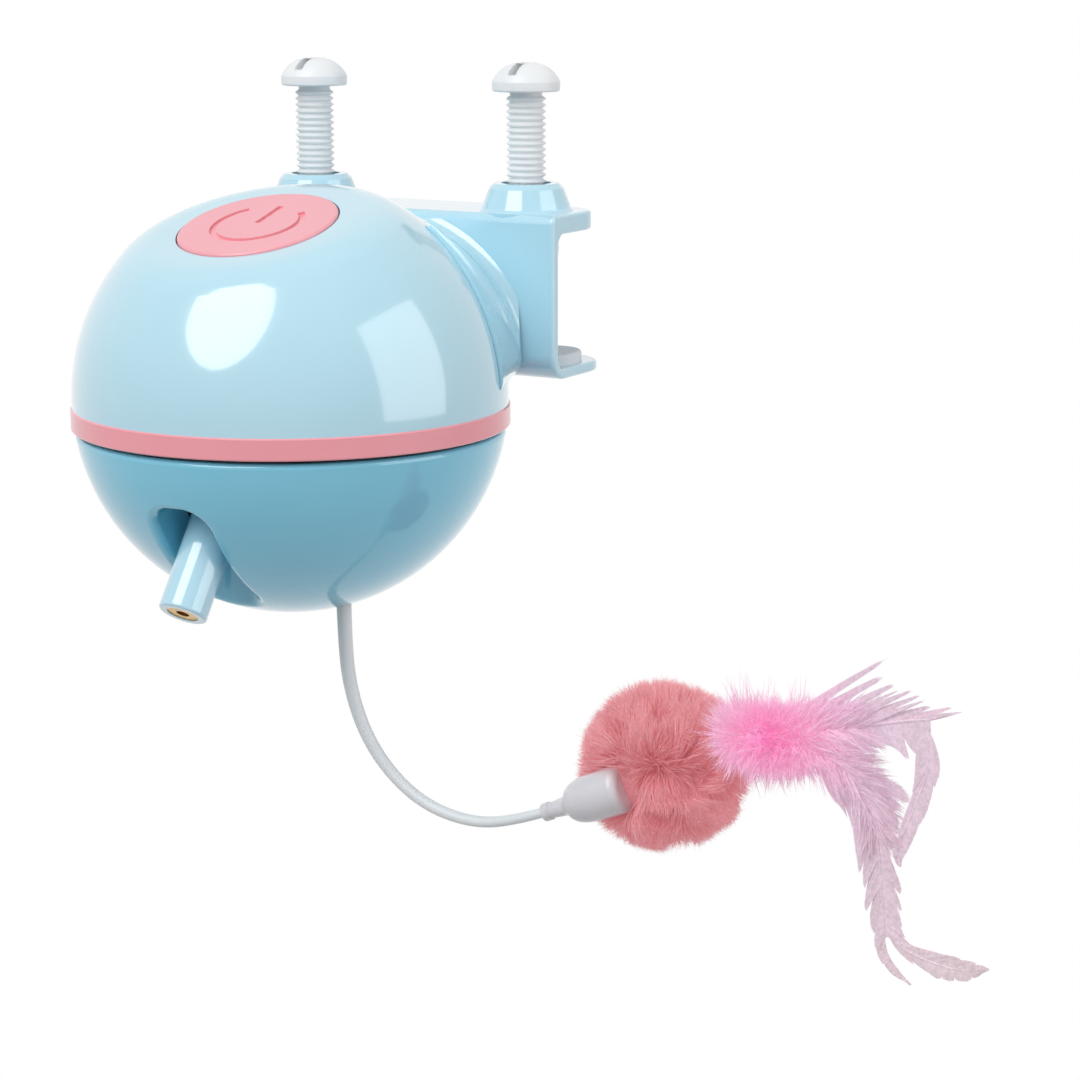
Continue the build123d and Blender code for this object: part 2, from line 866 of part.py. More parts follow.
def upright_round(face):
    """Whether a face is round about an upright axis, as at a rounded corner in plan."""
    return face.geom_type == GeomType.CYLINDER and abs(face.axis_of_rotation.direction.Z) > 0.9


def beyond_web(shape):
    """Whether the middle of a face or an edge lies on the table's side of the web."""
    return shape.center().Y > at(y=web_back + over)[1]


with BuildPart() as clamp_bracket:
    with BuildSketch(side) as channel:
        with BuildLine():
            Polyline(
                (web_y, lip_bottom),
                (lip_y, lip_bottom),
                (lip_y, lip_top),
                (web_back, lip_top),
                (web_back, jaw_gap_top),
                (flange_y, jaw_gap_top),
                (flange_y, flange_top),
                (web_y, flange_top),
                close=True,
            )
        make_face()
        fillet(corner(channel, web_y, lip_bottom), heel_r)
        fillet(corner(channel, web_y, flange_top), brow_r)
        fillet(corner(channel, web_back, lip_top), inner_r)
        fillet(corner(channel, web_back, jaw_gap_top), inner_r)
    extrude(amount=bracket_half, both=True)
    plan_corners(lip_top, lip_t, lip_y, lip_corner)
    plan_corners(flange_top, flange_t, flange_y, flange_corner)
    rims = clamp_bracket.faces().filter_by(Axis.X)
    rims += clamp_bracket.faces().filter_by(upright_round)
    rims += clamp_bracket.faces().filter_by(Axis.Y).filter_by(beyond_web)
    across = clamp_bracket.edges().filter_by(Axis.Z).filter_by(beyond_web)
    fillet([edge for edge in rims.edges() if edge not in across], edge_round)
    for x, y in screw_places:
        with BuildSketch(Plane(origin=at(x, y), x_dir=(1, 0, 0), z_dir=(0, -1, 0))):
            with BuildLine():
                Polyline(
                    (0, flange_top - brow_r),
                    (boss_root_r + boss_flare, flange_top - brow_r),
                    (boss_root_r + boss_flare, flange_top),
                    (boss_root_r, flange_top + boss_flare),
                    (boss_top_r, boss_top - boss_round),
                    (boss_top_r - boss_round, boss_top),
                    (0, boss_top),
                    close=True,
                )
            make_face()
        revolve(axis=Axis(at(x, y), (0, 0, 1)))
    add(neck_cone.part)
    add(neck_blending.part)
    with BuildSketch(level.offset(boss_top)):
        with Locations(*screw_places):
            Circle(boss_bore_r)
    extrude(amount=-boss_h - flange_t, mode=Mode.SUBTRACT)
    with BuildSketch(level.offset(jaw_gap_top)):
        with Locations(*screw_places):
            RegularPolygon(nut_across / 2 + close_fit, 6, major_radius=False)
    extrude(amount=nut_h, mode=Mode.SUBTRACT)
    with BuildSketch(level.offset(lip_top - pad_sunk)):
        with Locations((0, pad_y)):
            RectangleRounded(2 * (pad_half + fit), pad_w + 2 * fit, pad_corner + fit)
    extrude(amount=pad_t, mode=Mode.SUBTRACT)
    with BuildSketch(front.offset(-web_back)):
        with Locations(*bracket_screw_at):
            Circle(m3[0] + fit)
    extrude(amount=web_t, mode=Mode.SUBTRACT)
    with BuildSketch(front.offset(-web_back)):
        with Locations(*bracket_screw_at):
            Circle(m3[1] + fit)
    extrude(amount=m3[2], taper=sink_angle, mode=Mode.SUBTRACT)

rear = Plane(origin=centre, x_dir=(-1, 0, 0), z_dir=(0, 1, 0))
bracket_screws = pan_screw(
    rear.offset(web_back),
    [(-x, z) for x, z in bracket_screw_at],
    m3,
    bracket_screw_len,
    countersunk=True,
)

with BuildPart() as jaw_pad:
    with BuildSketch(level.offset(pad_top - pad_t)):
        with Locations((0, pad_y)):
            RectangleRounded(2 * pad_half, pad_w, pad_corner)
    extrude(amount=pad_t)
    fillet(jaw_pad.faces().sort_by(Axis.Z)[-1].edges(), pad_round)

with BuildPart() as clamp_nuts:
    with BuildSketch(level.offset(jaw_gap_top)):
        with Locations(*screw_places):
            RegularPolygon(nut_across / 2, 6, major_radius=False)
            Circle(thread_r + screw_play, mode=Mode.SUBTRACT)
    extrude(amount=nut_h)


# Clamp screws: ring grooves stand for the thread, and a plain tip turns in the swivel foot


def clamp_screw(x):
    groove = [
        (thread_root_r, 0.0),
        (thread_r, 0.40 * pitch),
        (thread_r, 0.55 * pitch),
        (thread_root_r, 0.95 * pitch),
    ]
    first = tip_z + tip_h + head_chamfer
    turns = int((head_seat - thread_end - first) / pitch)
    thread = [(r, first + turn * pitch + z) for turn in range(turns) for r, z in groove]
    crown = head_seat + head_h
    with BuildPart() as screw:
        with BuildSketch(Plane(origin=at(x, screw_y), x_dir=(1, 0, 0), z_dir=(0, -1, 0))):
            with BuildLine():
                Polyline((0, tip_z), (tip_r, tip_z), (tip_r, first), *thread)
                Polyline(
                    thread[-1],
                    (thread_root_r, head_seat),
                    (head_r - head_chamfer, head_seat),
                    (head_r, head_seat + head_chamfer),
                    (head_r, head_seat + head_edge),
                )
                ThreePointArc(
                    (head_r, head_seat + head_edge), (0.74 * head_r, head_seat + head_side), (0, crown)
                )
                Line((0, crown), (0, tip_z))
            make_face()
        revolve(axis=Axis(at(x, screw_y), (0, 0, 1)))
        with BuildSketch(level.offset(crown)):
            with Locations((x, screw_y)):
                Rectangle(slot_w, 2 * (head_r + over))
        extrude(amount=-slot_depth, mode=Mode.SUBTRACT)
    return screw


def screw_foot(x):
    cup = tip_r + 2 * running_gap
    with BuildPart() as foot:
        with BuildSketch(Plane(origin=at(x, screw_y), x_dir=(1, 0, 0), z_dir=(0, -1, 0))):
            with BuildLine():
                Polyline(
                    (0, foot_bottom),
                    (foot_r - foot_edge, foot_bottom),
                    (foot_r, foot_bottom + foot_edge),
                    (foot_r, tip_z - foot_slope),
                    (foot_cup_r, tip_z),
                    (foot_cup_r, tip_z + foot_cup_h),
                    (cup, tip_z + foot_cup_h),
                    (cup, tip_z),
                    (0, tip_z),
                    close=True,
                )
            make_face()
        revolve(axis=Axis(at(x, screw_y), (0, 0, 1)))
    return foot


left_clamp_screw = clamp_screw(-screw_x)
right_clamp_screw = clamp_screw(screw_x)
left_screw_foot = screw_foot(-screw_x)
right_screw_foot = screw_foot(screw_x)

# Sliding contacts between the two halves
ring_board_z = plate_bottom - ring_board_t
with BuildPart() as slip_ring_board:
    with BuildSketch(level.offset(ring_board_z)):
        Circle(ring_at[-1] + ring_w + 0.9)
        Circle(hub_r + fit, mode=Mode.SUBTRACT)
    extrude(amount=plate_bottom - ring_board_z)

with BuildPart() as slip_rings:
    with BuildSketch(level.offset(ring_board_z)):
        for radius in sorted(ring_at, reverse=True):
            Circle(radius + ring_w / 2)
            Circle(radius - ring_w / 2, mode=Mode.SUBTRACT)
    extrude(amount=-ring_t)

# Lower plate: a disc with a window for the laser and a hub for shaft and screw
low_top = plate_low_z + plate_low_t
low_r = reach(inner_ball_r, plate_low_z) - plate_low_gap
ear_x = tube_r + ear_gap
window_half = ear_x + ear_t + 0.8
tail = hypot(tube_behind, tube_r)
window_back = pivot_y + tail + 1.8
tab_w = 5.5
tab_len = 7.0
tab_y = pivot_y + 2.0
pin_end = ear_x + ear_t
tab_x = pin_end + tab_w / 2
tab_screw_x = pin_end + tab_w - 2.2
with BuildPart() as rotor_plate:
    with BuildSketch(level.offset(plate_low_z)):
        Circle(low_r)
        with Locations((0, (window_back - inner_ball_r) / 2)):
            Rectangle(2 * window_half, inner_ball_r + window_back, mode=Mode.SUBTRACT)
    extrude(amount=plate_low_t)
    with BuildSketch(level.offset(column_top)):
        Circle(column_r + 0.5)
    extrude(amount=low_top - column_top)
    with BuildSketch(level.offset(shaft_foot)):
        Circle(shaft_r + close_fit)
    extrude(amount=low_top - shaft_foot, mode=Mode.SUBTRACT)
    with BuildSketch(level.offset(column_top)):
        Circle(m3[0] - bite)
    extrude(amount=shaft_foot - column_top, mode=Mode.SUBTRACT)
    with BuildSketch(level.offset(plate_low_z)):
        with Locations((tab_screw_x, tab_y), (-tab_screw_x, tab_y)):
            Circle(m2[0] - bite)
    extrude(amount=plate_low_t, mode=Mode.SUBTRACT)

with BuildPart() as contact_board:
    with BuildSketch(level.offset(low_top)):
        with Locations((-2, ring_at[1])):
            RectangleRounded(contact_board_l, contact_board_w, 1)
    extrude(amount=ring_board_t)

contact_top = ring_board_z - ring_t - contact_gap
contact_base = low_top + ring_board_t
with BuildPart() as contact_springs:
    for radius in ring_at:
        with BuildSketch(front.offset(-radius + ring_w / 2 - 0.1)):
            with BuildLine():
                Polyline(
                    (contact_root, contact_base),
                    (contact_bend, contact_base),
                    (-0.4, contact_top - contact_t),
                    (0.4, contact_top - contact_t),
                    (2.0, contact_top - contact_t - 1.4),
                    (2.3, contact_top - contact_t - 1.1),
                    (0.6, contact_top),
                    (-0.6, contact_top),
                    (contact_bend - 0.1, contact_base + contact_t),
                    (contact_root, contact_base + contact_t),
                    close=True,
                )
            make_face()
        extrude(amount=-(ring_w - 0.2))

# Slot for the laser: the space that the tube sweeps, with round ends
slot_reach = ball_r + 3.0


def aimed(angle):
    """A plane at the pivot whose normal points out of the ball, so many degrees under the horizon."""
    turn = radians(angle)
    return Plane(
        origin=at(0, pivot_y, pivot_z), x_dir=(1, 0, 0), z_dir=(0, -cos(turn), -sin(turn))
    )


def swept_slot(grow):
    ends = [laser_down - laser_swing, laser_down + laser_swing]
    (high_y, high_z), (low_y, low_z) = (
        (pivot_y - slot_reach * cos(radians(a)), pivot_z - slot_reach * sin(radians(a))) for a in ends
    )
    with BuildPart() as form:
        for angle in ends:
            with BuildSketch(aimed(angle)):
                RectangleRounded(
                    2 * (slot_half + grow), 2 * (tube_r + slot_clear + grow), slot_round + grow
                )
            extrude(amount=slot_reach)
        with BuildSketch(side):
            with BuildLine():
                Polyline(
                    (pivot_y, pivot_z), (high_y, high_z), (high_y, low_z), (low_y, low_z), close=True
                )
            make_face()
        extrude(amount=slot_half + grow, both=True)
    return form.part


with BuildPart() as pocket:
    add(swept_slot(pocket_wall))
    with Locations(centre):
        Sphere(ball_r - wall / 2, mode=Mode.INTERSECT)
    with Locations(centre):
        Sphere(ball_r - pocket_depth, mode=Mode.SUBTRACT)

root_x = wire_route[0][0]
root_z = wire_route[0][1]
socket_r = wire_r + socket_wall
socket_bottom = root_z - socket_depth
collar_z = root_z - 0.5
socket_collar = 1.6
with BuildPart() as low_posts:
    with BuildSketch(level.offset(column_top)):
        Circle(column_r)
    extrude(amount=-ball_r - column_top)
    with BuildSketch(level.offset(collar_z)):
        with Locations((root_x, 0)):
            Circle(socket_r + socket_collar + 0.2)
    extrude(amount=-ball_r - collar_z)
    with Locations(centre):
        Sphere(ball_r - wall / 2, mode=Mode.INTERSECT)

seat_r = reach(inner_ball_r, plate_low_z) - plate_low_gap - seat_w
with BuildPart() as lower_shell:
    with Locations(centre):
        Sphere(ball_r)
        Sphere(inner_ball_r, mode=Mode.SUBTRACT)
    split(bisect_by=level.offset(rotor_top), keep=Keep.BOTTOM)
    fillet(lower_shell.edges().group_by(Axis.Z)[-1].sort_by(SortBy.RADIUS)[-1], rim_round)
    with BuildSketch(level.offset(plate_low_z)):
        Circle(reach(ball_r - wall / 2, plate_low_z - seat_depth))
        Circle(seat_r, mode=Mode.SUBTRACT)
    extrude(amount=-seat_depth)
    add(low_posts.part)
    add(pocket.part)
    with BuildSketch(level.offset(-ball_r)):
        Circle(well_r)
    extrude(amount=ball_r + well_top, mode=Mode.SUBTRACT)
    with BuildSketch(level.offset(-ball_r)):
        Circle(m3[0] + fit)
    extrude(amount=ball_r + column_top, mode=Mode.SUBTRACT)
    with BuildSketch(level.offset(-ball_r)):
        with Locations((root_x, 0)):
            Circle(wire_hole_r)
    extrude(amount=ball_r + socket_bottom, mode=Mode.SUBTRACT)
    with BuildSketch(level.offset(socket_bottom)):
        with Locations((root_x, 0)):
            Circle(socket_r + close_fit)
    extrude(amount=collar_z - socket_bottom, mode=Mode.SUBTRACT)
    add(swept_slot(0.0), mode=Mode.SUBTRACT)
    mouth = lower_shell.edges().filter_by(
        lambda e: abs((Vector(*centre) - (e @ 0.5)).length - ball_r) < 0.01
        and (e @ 0.5).Y < at(y=-slot_half)[1]
        and (e @ 0.5).Z < at(z=rotor_top - 2)[2]
    )
    fillet(mouth, slot_rim)

rotor_screw = pan_screw(
    under.offset(-well_top), [(0, 0)], m3, shaft_foot - well_top - 0.5
)

with BuildPart() as wire_socket:
    with BuildSketch(level.offset(socket_bottom)):
        with Locations((root_x, 0)):
            Circle(socket_r)
    extrude(amount=collar_z - socket_bottom)
    with BuildSketch(level.offset(collar_z)):
        with Locations((root_x, 0)):
            Circle(socket_r + socket_collar)
    extrude(amount=2.0)
    with BuildSketch(level.offset(socket_bottom)):
        with Locations((root_x, 0)):
            Circle(wire_r + close_fit)
    extrude(amount=root_z - socket_bottom, mode=Mode.SUBTRACT)

# Laser hinge and tube
barrel = aimed(laser_down)
bracket_t = 1.5
ear_r = 3.6
bracket_front = pivot_y - 3.0
bracket_back = window_back + 0.1
with BuildPart() as laser_bracket:
    for x in (ear_x, -ear_x - ear_t):
        with BuildSketch(side.offset(x)):
            with Locations((pivot_y, pivot_z)):
                Circle(ear_r)
            with Locations(((bracket_front + bracket_back) / 2, plate_low_z - bracket_t / 2)):
                Rectangle(bracket_back - bracket_front, bracket_t)
            make_hull()
            with Locations((pivot_y, pivot_z)):
                Circle(trunnion_r + running_gap, mode=Mode.SUBTRACT)
        extrude(amount=ear_t)
    with BuildSketch(side.offset(-pin_end)):
        with Locations((bracket_back - 0.7, plate_low_z - bracket_t)):
            Rectangle(1.4, 2 * bracket_t)
    extrude(amount=2 * pin_end)
    with BuildSketch(level.offset(plate_low_z)):
        with Locations((tab_x, tab_y), (-tab_x, tab_y)):
            Rectangle(tab_w, tab_len)
    extrude(amount=-bracket_t)
    with BuildSketch(level.offset(plate_low_z)):
        with Locations((tab_screw_x, tab_y), (-tab_screw_x, tab_y)):
            Circle(m2[0] + fit)
    extrude(amount=-bracket_t, mode=Mode.SUBTRACT)

laser_screws = pan_screw(
    under.offset(-(plate_low_z - bracket_t)),
    [(tab_screw_x, -tab_y), (-tab_screw_x, -tab_y)],
    m2,
    laser_screw_len,
)

with BuildPart() as laser_tube:
    with BuildSketch(barrel.offset(-tube_behind)):
        Circle(tube_r)
    extrude(amount=tube_ahead + tube_behind)
    fillet(laser_tube.edges().filter_by(GeomType.CIRCLE), tube_chamfer)
    with BuildSketch(side.offset(-pin_end)):
        with Locations((pivot_y, pivot_z)):
            Circle(trunnion_r)
    extrude(amount=2 * pin_end)
    with BuildSketch(barrel.offset(tube_ahead)):
        Circle(module_r + close_fit)
    extrude(amount=-module_len - module_sunk, mode=Mode.SUBTRACT)
    with BuildSketch(barrel.offset(tube_ahead)):
        Circle(lead_hole_r)
    extrude(amount=-tube_ahead - tube_behind, mode=Mode.SUBTRACT)

with BuildPart() as laser_module:
    with BuildSketch(barrel.offset(tube_ahead - module_sunk)):
        Circle(module_r)
    extrude(amount=-module_len)
    with BuildSketch(barrel.offset(tube_ahead - module_sunk)):
        Circle(aperture_r)
    extrude(amount=-aperture_depth, mode=Mode.SUBTRACT)

with BuildPart() as laser_lens:
    with BuildSketch(barrel.offset(tube_ahead - module_sunk - aperture_depth)):
        Circle(aperture_r - close_fit)
    extrude(amount=lens_t)

with BuildPart() as friction_washers:
    for x in (tube_r + 0.05, -ear_x + 0.05):
        with BuildSketch(side.offset(x)):
            with Locations((pivot_y, pivot_z)):
                Circle(trunnion_r + washer_w)
                Circle(trunnion_r + close_fit, mode=Mode.SUBTRACT)
        extrude(amount=ear_gap - 0.1)

# Wire: straight runs and tangent arcs
route = [Vector(*at(x, 0, z)) for x, z in wire_route]
arc_radii = []
for before, here, after in zip(route, route[1:], route[2:]):
    run_in, run_out = here - before, after - here
    turn = radians(run_in.get_angle(run_out))
    arc_radii.append(0.45 * min(run_in.length, run_out.length) / tan(turn / 2))
print("wire arcs, mm:", [round(r, 1) for r in arc_radii])
with BuildPart() as teaser_wire:
    with BuildLine() as wire_line:
        FilletPolyline(*route, radius=arc_radii)
    with BuildSketch(Plane(origin=route[0], z_dir=(route[1] - route[0]).normalized())):
        Circle(wire_r)
    sweep()
wire_len = wire_line.wires()[0].length
wire_fill = teaser_wire.part.volume / (pi * wire_r**2 * wire_len)
print("wire length, mm:", round(wire_len, 1), "volume ratio:", round(wire_fill, 4))

# Lure: a connector on the wire's tip, a pompom and feathers
tip = route[-1]
along = (route[-1] - route[-2]).normalized()
bell_start = tip - along * grip_len
lure_plane = Plane(origin=bell_start, x_dir=along, z_dir=(0, -1, 0))


def bell(grow, bored):
    with BuildPart() as form:
        with BuildSketch(lure_plane):
            with BuildLine():
                Polyline(
                    (0, 0),
                    (0, collar_r + grow),
                    (collar_len, collar_r + grow),
                    (collar_len + 0.2, neck_thin + grow),
                    (shoulder, neck_thin + 0.3 + grow),
                )
                Spline(
                    (shoulder, neck_thin + 0.3 + grow),
                    (shoulder + 1.8, 0.67 * bell_r + grow),
                    (shoulder + 4.4, 0.92 * bell_r + grow),
                    (shoulder + 8.4, 0.99 * bell_r + grow),
                    (bell_len - bell_round, bell_r + grow),
                    tangents=((1, 0.12), (1, 0)),
                )
                ThreePointArc(
                    (bell_len - bell_round, bell_r + grow),
                    (bell_len - 0.3 * bell_round, bell_r - 0.3 * bell_round + grow),
                    (bell_len + grow, bell_r - bell_round),
                )
                Polyline((bell_len + grow, bell_r - bell_round), (bell_len + grow, 0), (0, 0))
            make_face()
        revolve(axis=Axis(bell_start, along))
        if bored:
            with BuildSketch(Plane(origin=bell_start, z_dir=along)):
                Circle(wire_r + running_gap)
            extrude(amount=grip_len + 0.2, mode=Mode.SUBTRACT)
    return form


head_connector = bell(0.0, True)
bell_space = bell(soft_gap, False)

with BuildPart() as fur_ball:
    with Locations(at(*fur_at)):
        Sphere(fur_r)
    add(bell_space.part, mode=Mode.SUBTRACT)

tuft_at = (98.5, lure_y, -57.0)


def tuft(grow):
    plane = Plane(origin=at(*tuft_at), x_dir=(1, 0, 0), z_dir=(0, -1, 0))
    with BuildPart() as form:
        with BuildSketch(plane):
            Ellipse(tuft_half + grow, tuft_r + grow)
            Rectangle(
                4 * tuft_half, 4 * tuft_r, align=(Align.CENTER, Align.MAX), mode=Mode.SUBTRACT
            )
        revolve(axis=Axis(plane.origin, (1, 0, 0)))
    return form


with BuildPart() as feather_tuft:
    add(tuft(0.0).part)
    with Locations(at(*fur_at)):
        Sphere(fur_r + soft_gap, mode=Mode.SUBTRACT)

# Each feather is a thin blade: its outline goes out along one side and back along the other
upper_out = [(100.0, -48.0), (108.0, -46.3), (118.0, -43.0), (126.0, -45.8), (133.0, -48.0)]
upper_back = [(133.0, -48.0), (132.0, -57.0), (129.7, -63.5), (124.3, -76.5)]
upper_in = [
    (124.3, -76.5),
    (122.8, -74.5),
    (126.6, -60.0),
    (126.3, -53.5),
    (118.0, -54.5),
    (100.0, -60.0),
]
lower_out = [
    (100.0, -54.0),
    (112.0, -52.5),
    (121.0, -57.5),
    (124.2, -66.6),
    (123.8, -82.0),
    (127.5, -92.0),
]
lower_leaf = [
    (127.5, -92.0),
    (134.5, -93.0),
    (142.1, -94.3),
    (135.0, -98.2),
    (128.1, -96.2),
    (122.9, -93.4),
]
lower_tip = [(122.9, -93.4), (124.0, -97.4), (127.1, -100.1), (121.5, -97.0), (118.3, -89.9)]
lower_back = [(118.3, -89.9), (116.5, -79.9), (113.5, -69.5), (106.6, -62.5), (100.0, -60.0)]


def blade(depth, *sides):
    with BuildPart() as form:
        with BuildSketch(front.offset(-depth)):
            with BuildLine():
                for points in sides:
                    Spline(*points)
                Line(sides[-1][-1], sides[0][0])
            make_face()
        extrude(amount=feather_t)
        add(tuft(soft_gap).part, mode=Mode.SUBTRACT)
        with Locations(at(*fur_at)):
            Sphere(fur_r + soft_gap, mode=Mode.SUBTRACT)
    return form


upper_feather = blade(lure_y + feather_apart + feather_t, upper_out, upper_back, upper_in)
lower_feather = blade(lure_y - feather_apart, lower_out, lower_leaf, lower_tip, lower_back)

# Files
os.makedirs("parts", exist_ok=True)
pieces = {
    "upper_shell": upper_shell,
    "band_ring": band_ring,
    "chassis_plate": chassis_plate,
    "chassis_screws": chassis_screws,
    "clamp_bracket": clamp_bracket,
    "bracket_screws": bracket_screws,
    "jaw_pad": jaw_pad,
    "clamp_nuts": clamp_nuts,
    "left_clamp_screw": left_clamp_screw,
    "right_clamp_screw": right_clamp_screw,
    "left_screw_foot": left_screw_foot,
    "right_screw_foot": right_screw_foot,
    "power_button": power_button,
    "switch_board": switch_board,
    "tact_switch": tact_switch,
    "board_screws": board_screws,
    "main_board": main_board,
    "port_board": port_board,
    "usb_port": usb_port,
    "battery_cradle": battery_cradle,
    "battery_cell": battery_cell,
    "motor_plate": motor_plate,
    "motor_screws": motor_screws,
    "gear_motor": gear_motor,
    "motor_pinion": motor_pinion,
    "output_gear": output_gear,
    "output_shaft": output_shaft,
    "shaft_clip": shaft_clip,
    "upper_bush": upper_bush,
    "lower_bush": lower_bush,
    "slip_ring_board": slip_ring_board,
    "slip_rings": slip_rings,
    "contact_board": contact_board,
    "contact_springs": contact_springs,
    "rotor_plate": rotor_plate,
    "lower_shell": lower_shell,
    "rotor_screw": rotor_screw,
    "laser_bracket": laser_bracket,
    "laser_screws": laser_screws,
    "laser_tube": laser_tube,
    "laser_module": laser_module,
    "laser_lens": laser_lens,
    "friction_washers": friction_washers,
    "wire_socket": wire_socket,
    "teaser_wire": teaser_wire,
    "head_connector": head_connector,
    "fur_ball": fur_ball,
    "feather_tuft": feather_tuft,
    "upper_feather": upper_feather,
    "lower_feather": lower_feather,
}
for name, piece in pieces.items():
    piece.part.label = name
    export_step(piece.part, f"parts/{name}.step")
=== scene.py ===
import json

import bmesh
import bpy
import numpy as np
from mathutils import Matrix, Vector

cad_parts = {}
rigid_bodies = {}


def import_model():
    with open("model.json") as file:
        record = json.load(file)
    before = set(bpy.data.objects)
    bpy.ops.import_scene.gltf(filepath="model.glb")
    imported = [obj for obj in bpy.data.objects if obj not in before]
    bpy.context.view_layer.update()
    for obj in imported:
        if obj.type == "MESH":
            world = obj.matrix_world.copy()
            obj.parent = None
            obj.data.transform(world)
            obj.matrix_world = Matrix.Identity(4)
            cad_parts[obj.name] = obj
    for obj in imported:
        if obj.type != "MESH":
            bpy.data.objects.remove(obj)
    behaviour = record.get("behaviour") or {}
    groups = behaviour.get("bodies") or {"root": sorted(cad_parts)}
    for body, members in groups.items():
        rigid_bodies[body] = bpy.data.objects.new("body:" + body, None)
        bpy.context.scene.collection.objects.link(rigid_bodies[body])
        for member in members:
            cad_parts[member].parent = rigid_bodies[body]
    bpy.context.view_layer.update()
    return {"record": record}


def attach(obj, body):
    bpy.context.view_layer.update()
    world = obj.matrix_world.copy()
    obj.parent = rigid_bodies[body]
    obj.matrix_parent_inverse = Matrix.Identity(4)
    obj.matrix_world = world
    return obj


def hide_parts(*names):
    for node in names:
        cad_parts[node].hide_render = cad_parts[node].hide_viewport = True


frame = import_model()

# The ball's centre is where the rotor's joint stands, and the lengths below are millimetres from it
JOINTS = {joint["name"]: joint for joint in frame["record"]["behaviour"]["joints"]}
SPIN, PULL = JOINTS["rotor_spin"], JOINTS["head_pull"]
BALL = Vector(SPIN["pos_m"])
MM = 0.001


def at(x, y, z):
    """A point of the ball's own frame, in millimetres, as a point of the row in metres."""
    return BALL + Vector((x, y, z)) * MM


def srgb(red, green, blue):
    """A colour given in 0 to 255, as linear values."""
    parts = [c / 255 for c in (red, green, blue)]
    return tuple(((c + 0.055) / 1.055) ** 2.4 if c > 0.04 else c / 12.92 for c in parts) + (1.0,)


# Camera at the photograph's angle
CAMERA_AT = at(312.9, -453.6, 86.9)
CAMERA_LOOK = Vector((-0.48347, 0.85074, -0.20615))
CAMERA_UP = Vector((-0.10075, 0.17986, 0.97852))
CAMERA_RIGHT = CAMERA_LOOK.cross(CAMERA_UP).normalized()
LENS = 95.87
SENSOR = 36.0
NEAR_CLIP = 0.05


def add_camera():
    data = bpy.data.cameras.new("camera")
    data.lens = LENS
    data.sensor_width = SENSOR
    data.clip_start = NEAR_CLIP
    camera = bpy.data.objects.new("camera", data)
    turned = Matrix((CAMERA_RIGHT, CAMERA_UP, -CAMERA_LOOK)).transposed().to_4x4()
    camera.matrix_world = Matrix.Translation(CAMERA_AT) @ turned
    bpy.context.scene.collection.objects.link(camera)
    bpy.context.scene.camera = camera


add_camera()


# Materials

# The parts of a noise's values that the ramps and ranges below run over
BLEND_LOW, BLEND_HIGH = 0.35, 0.65
SPREAD_LOW, SPREAD_HIGH = 0.3, 0.7
CLOUD_DETAIL, FINE_DETAIL = 3.0, 4.0
SURFACE_RELIEF = 0.0002
SOFT_RELIEF, SOFT_BUMP = 0.0001, 0.15
SOFT_STREAKS = ((0.84, 0.84, 0.84, 1), (1, 1, 1, 1))
WOBBLE_SCALE = 500
SCATTER = {"Subsurface_Radius": (1.0, 0.9, 0.8)}
materials = {}


def new_material(name):
    material = bpy.data.materials.new(name)
    material.use_nodes = True
    nodes = material.node_tree.nodes
    shader = nodes["Principled BSDF"]
    return material, nodes, material.node_tree.links, shader


def noise_at(nodes, links, scale, detail=CLOUD_DETAIL, stretch=(1, 1, 1)):
    """Noise over the object's own coordinates, in metres."""
    place = nodes.new("ShaderNodeTexCoord")
    mapping = nodes.new("ShaderNodeMapping")
    mapping.inputs["Scale"].default_value = stretch
    noise = nodes.new("ShaderNodeTexNoise")
    noise.inputs["Scale"].default_value = scale
    noise.inputs["Detail"].default_value = detail
    links.new(place.outputs["Object"], mapping.inputs["Vector"])
    links.new(mapping.outputs["Vector"], noise.inputs["Vector"])
    return noise.outputs["Fac"]


def blend_colours(nodes, links, factor, first, second):
    ramp = nodes.new("ShaderNodeValToRGB")
    ramp.color_ramp.elements[0].position = BLEND_LOW
    ramp.color_ramp.elements[0].color = first
    ramp.color_ramp.elements[1].position = BLEND_HIGH
    ramp.color_ramp.elements[1].color = second
    links.new(factor, ramp.inputs["Fac"])
    return ramp.outputs["Color"]


def spread(nodes, links, factor, low, high):
    span = nodes.new("ShaderNodeMapRange")
    span.inputs["From Min"].default_value = SPREAD_LOW
    span.inputs["From Max"].default_value = SPREAD_HIGH
    span.inputs["To Min"].default_value = low
    span.inputs["To Max"].default_value = high
    links.new(factor, span.inputs["Value"])
    return span.outputs["Result"]


def add_relief(nodes, links, shader, height, strength, distance):
    relief = nodes.new("ShaderNodeBump")
    relief.inputs["Strength"].default_value = strength
    relief.inputs["Distance"].default_value = distance
    links.new(height, relief.inputs["Height"])
    links.new(relief.outputs["Normal"], shader.inputs["Normal"])


def fill_sockets(shader, sockets):
    for socket, value in sockets.items():
        shader.inputs[socket.replace("_", " ")].default_value = value


def surface(name, colour, second, rough, scale, grain, bump, stretch=(1, 1, 1), **sockets):
    """A moulded or metal surface: two near colours, uneven gloss and a fine grain in the bump."""
    material, nodes, links, shader = new_material(name)
    cloud = noise_at(nodes, links, scale)
    links.new(blend_colours(nodes, links, cloud, colour, second), shader.inputs["Base Color"])
    fine = noise_at(nodes, links, grain, FINE_DETAIL, stretch)
    links.new(spread(nodes, links, fine, *rough), shader.inputs["Roughness"])
    add_relief(nodes, links, shader, fine, bump, SURFACE_RELIEF)
    fill_sockets(shader, sockets)
    materials[name] = material


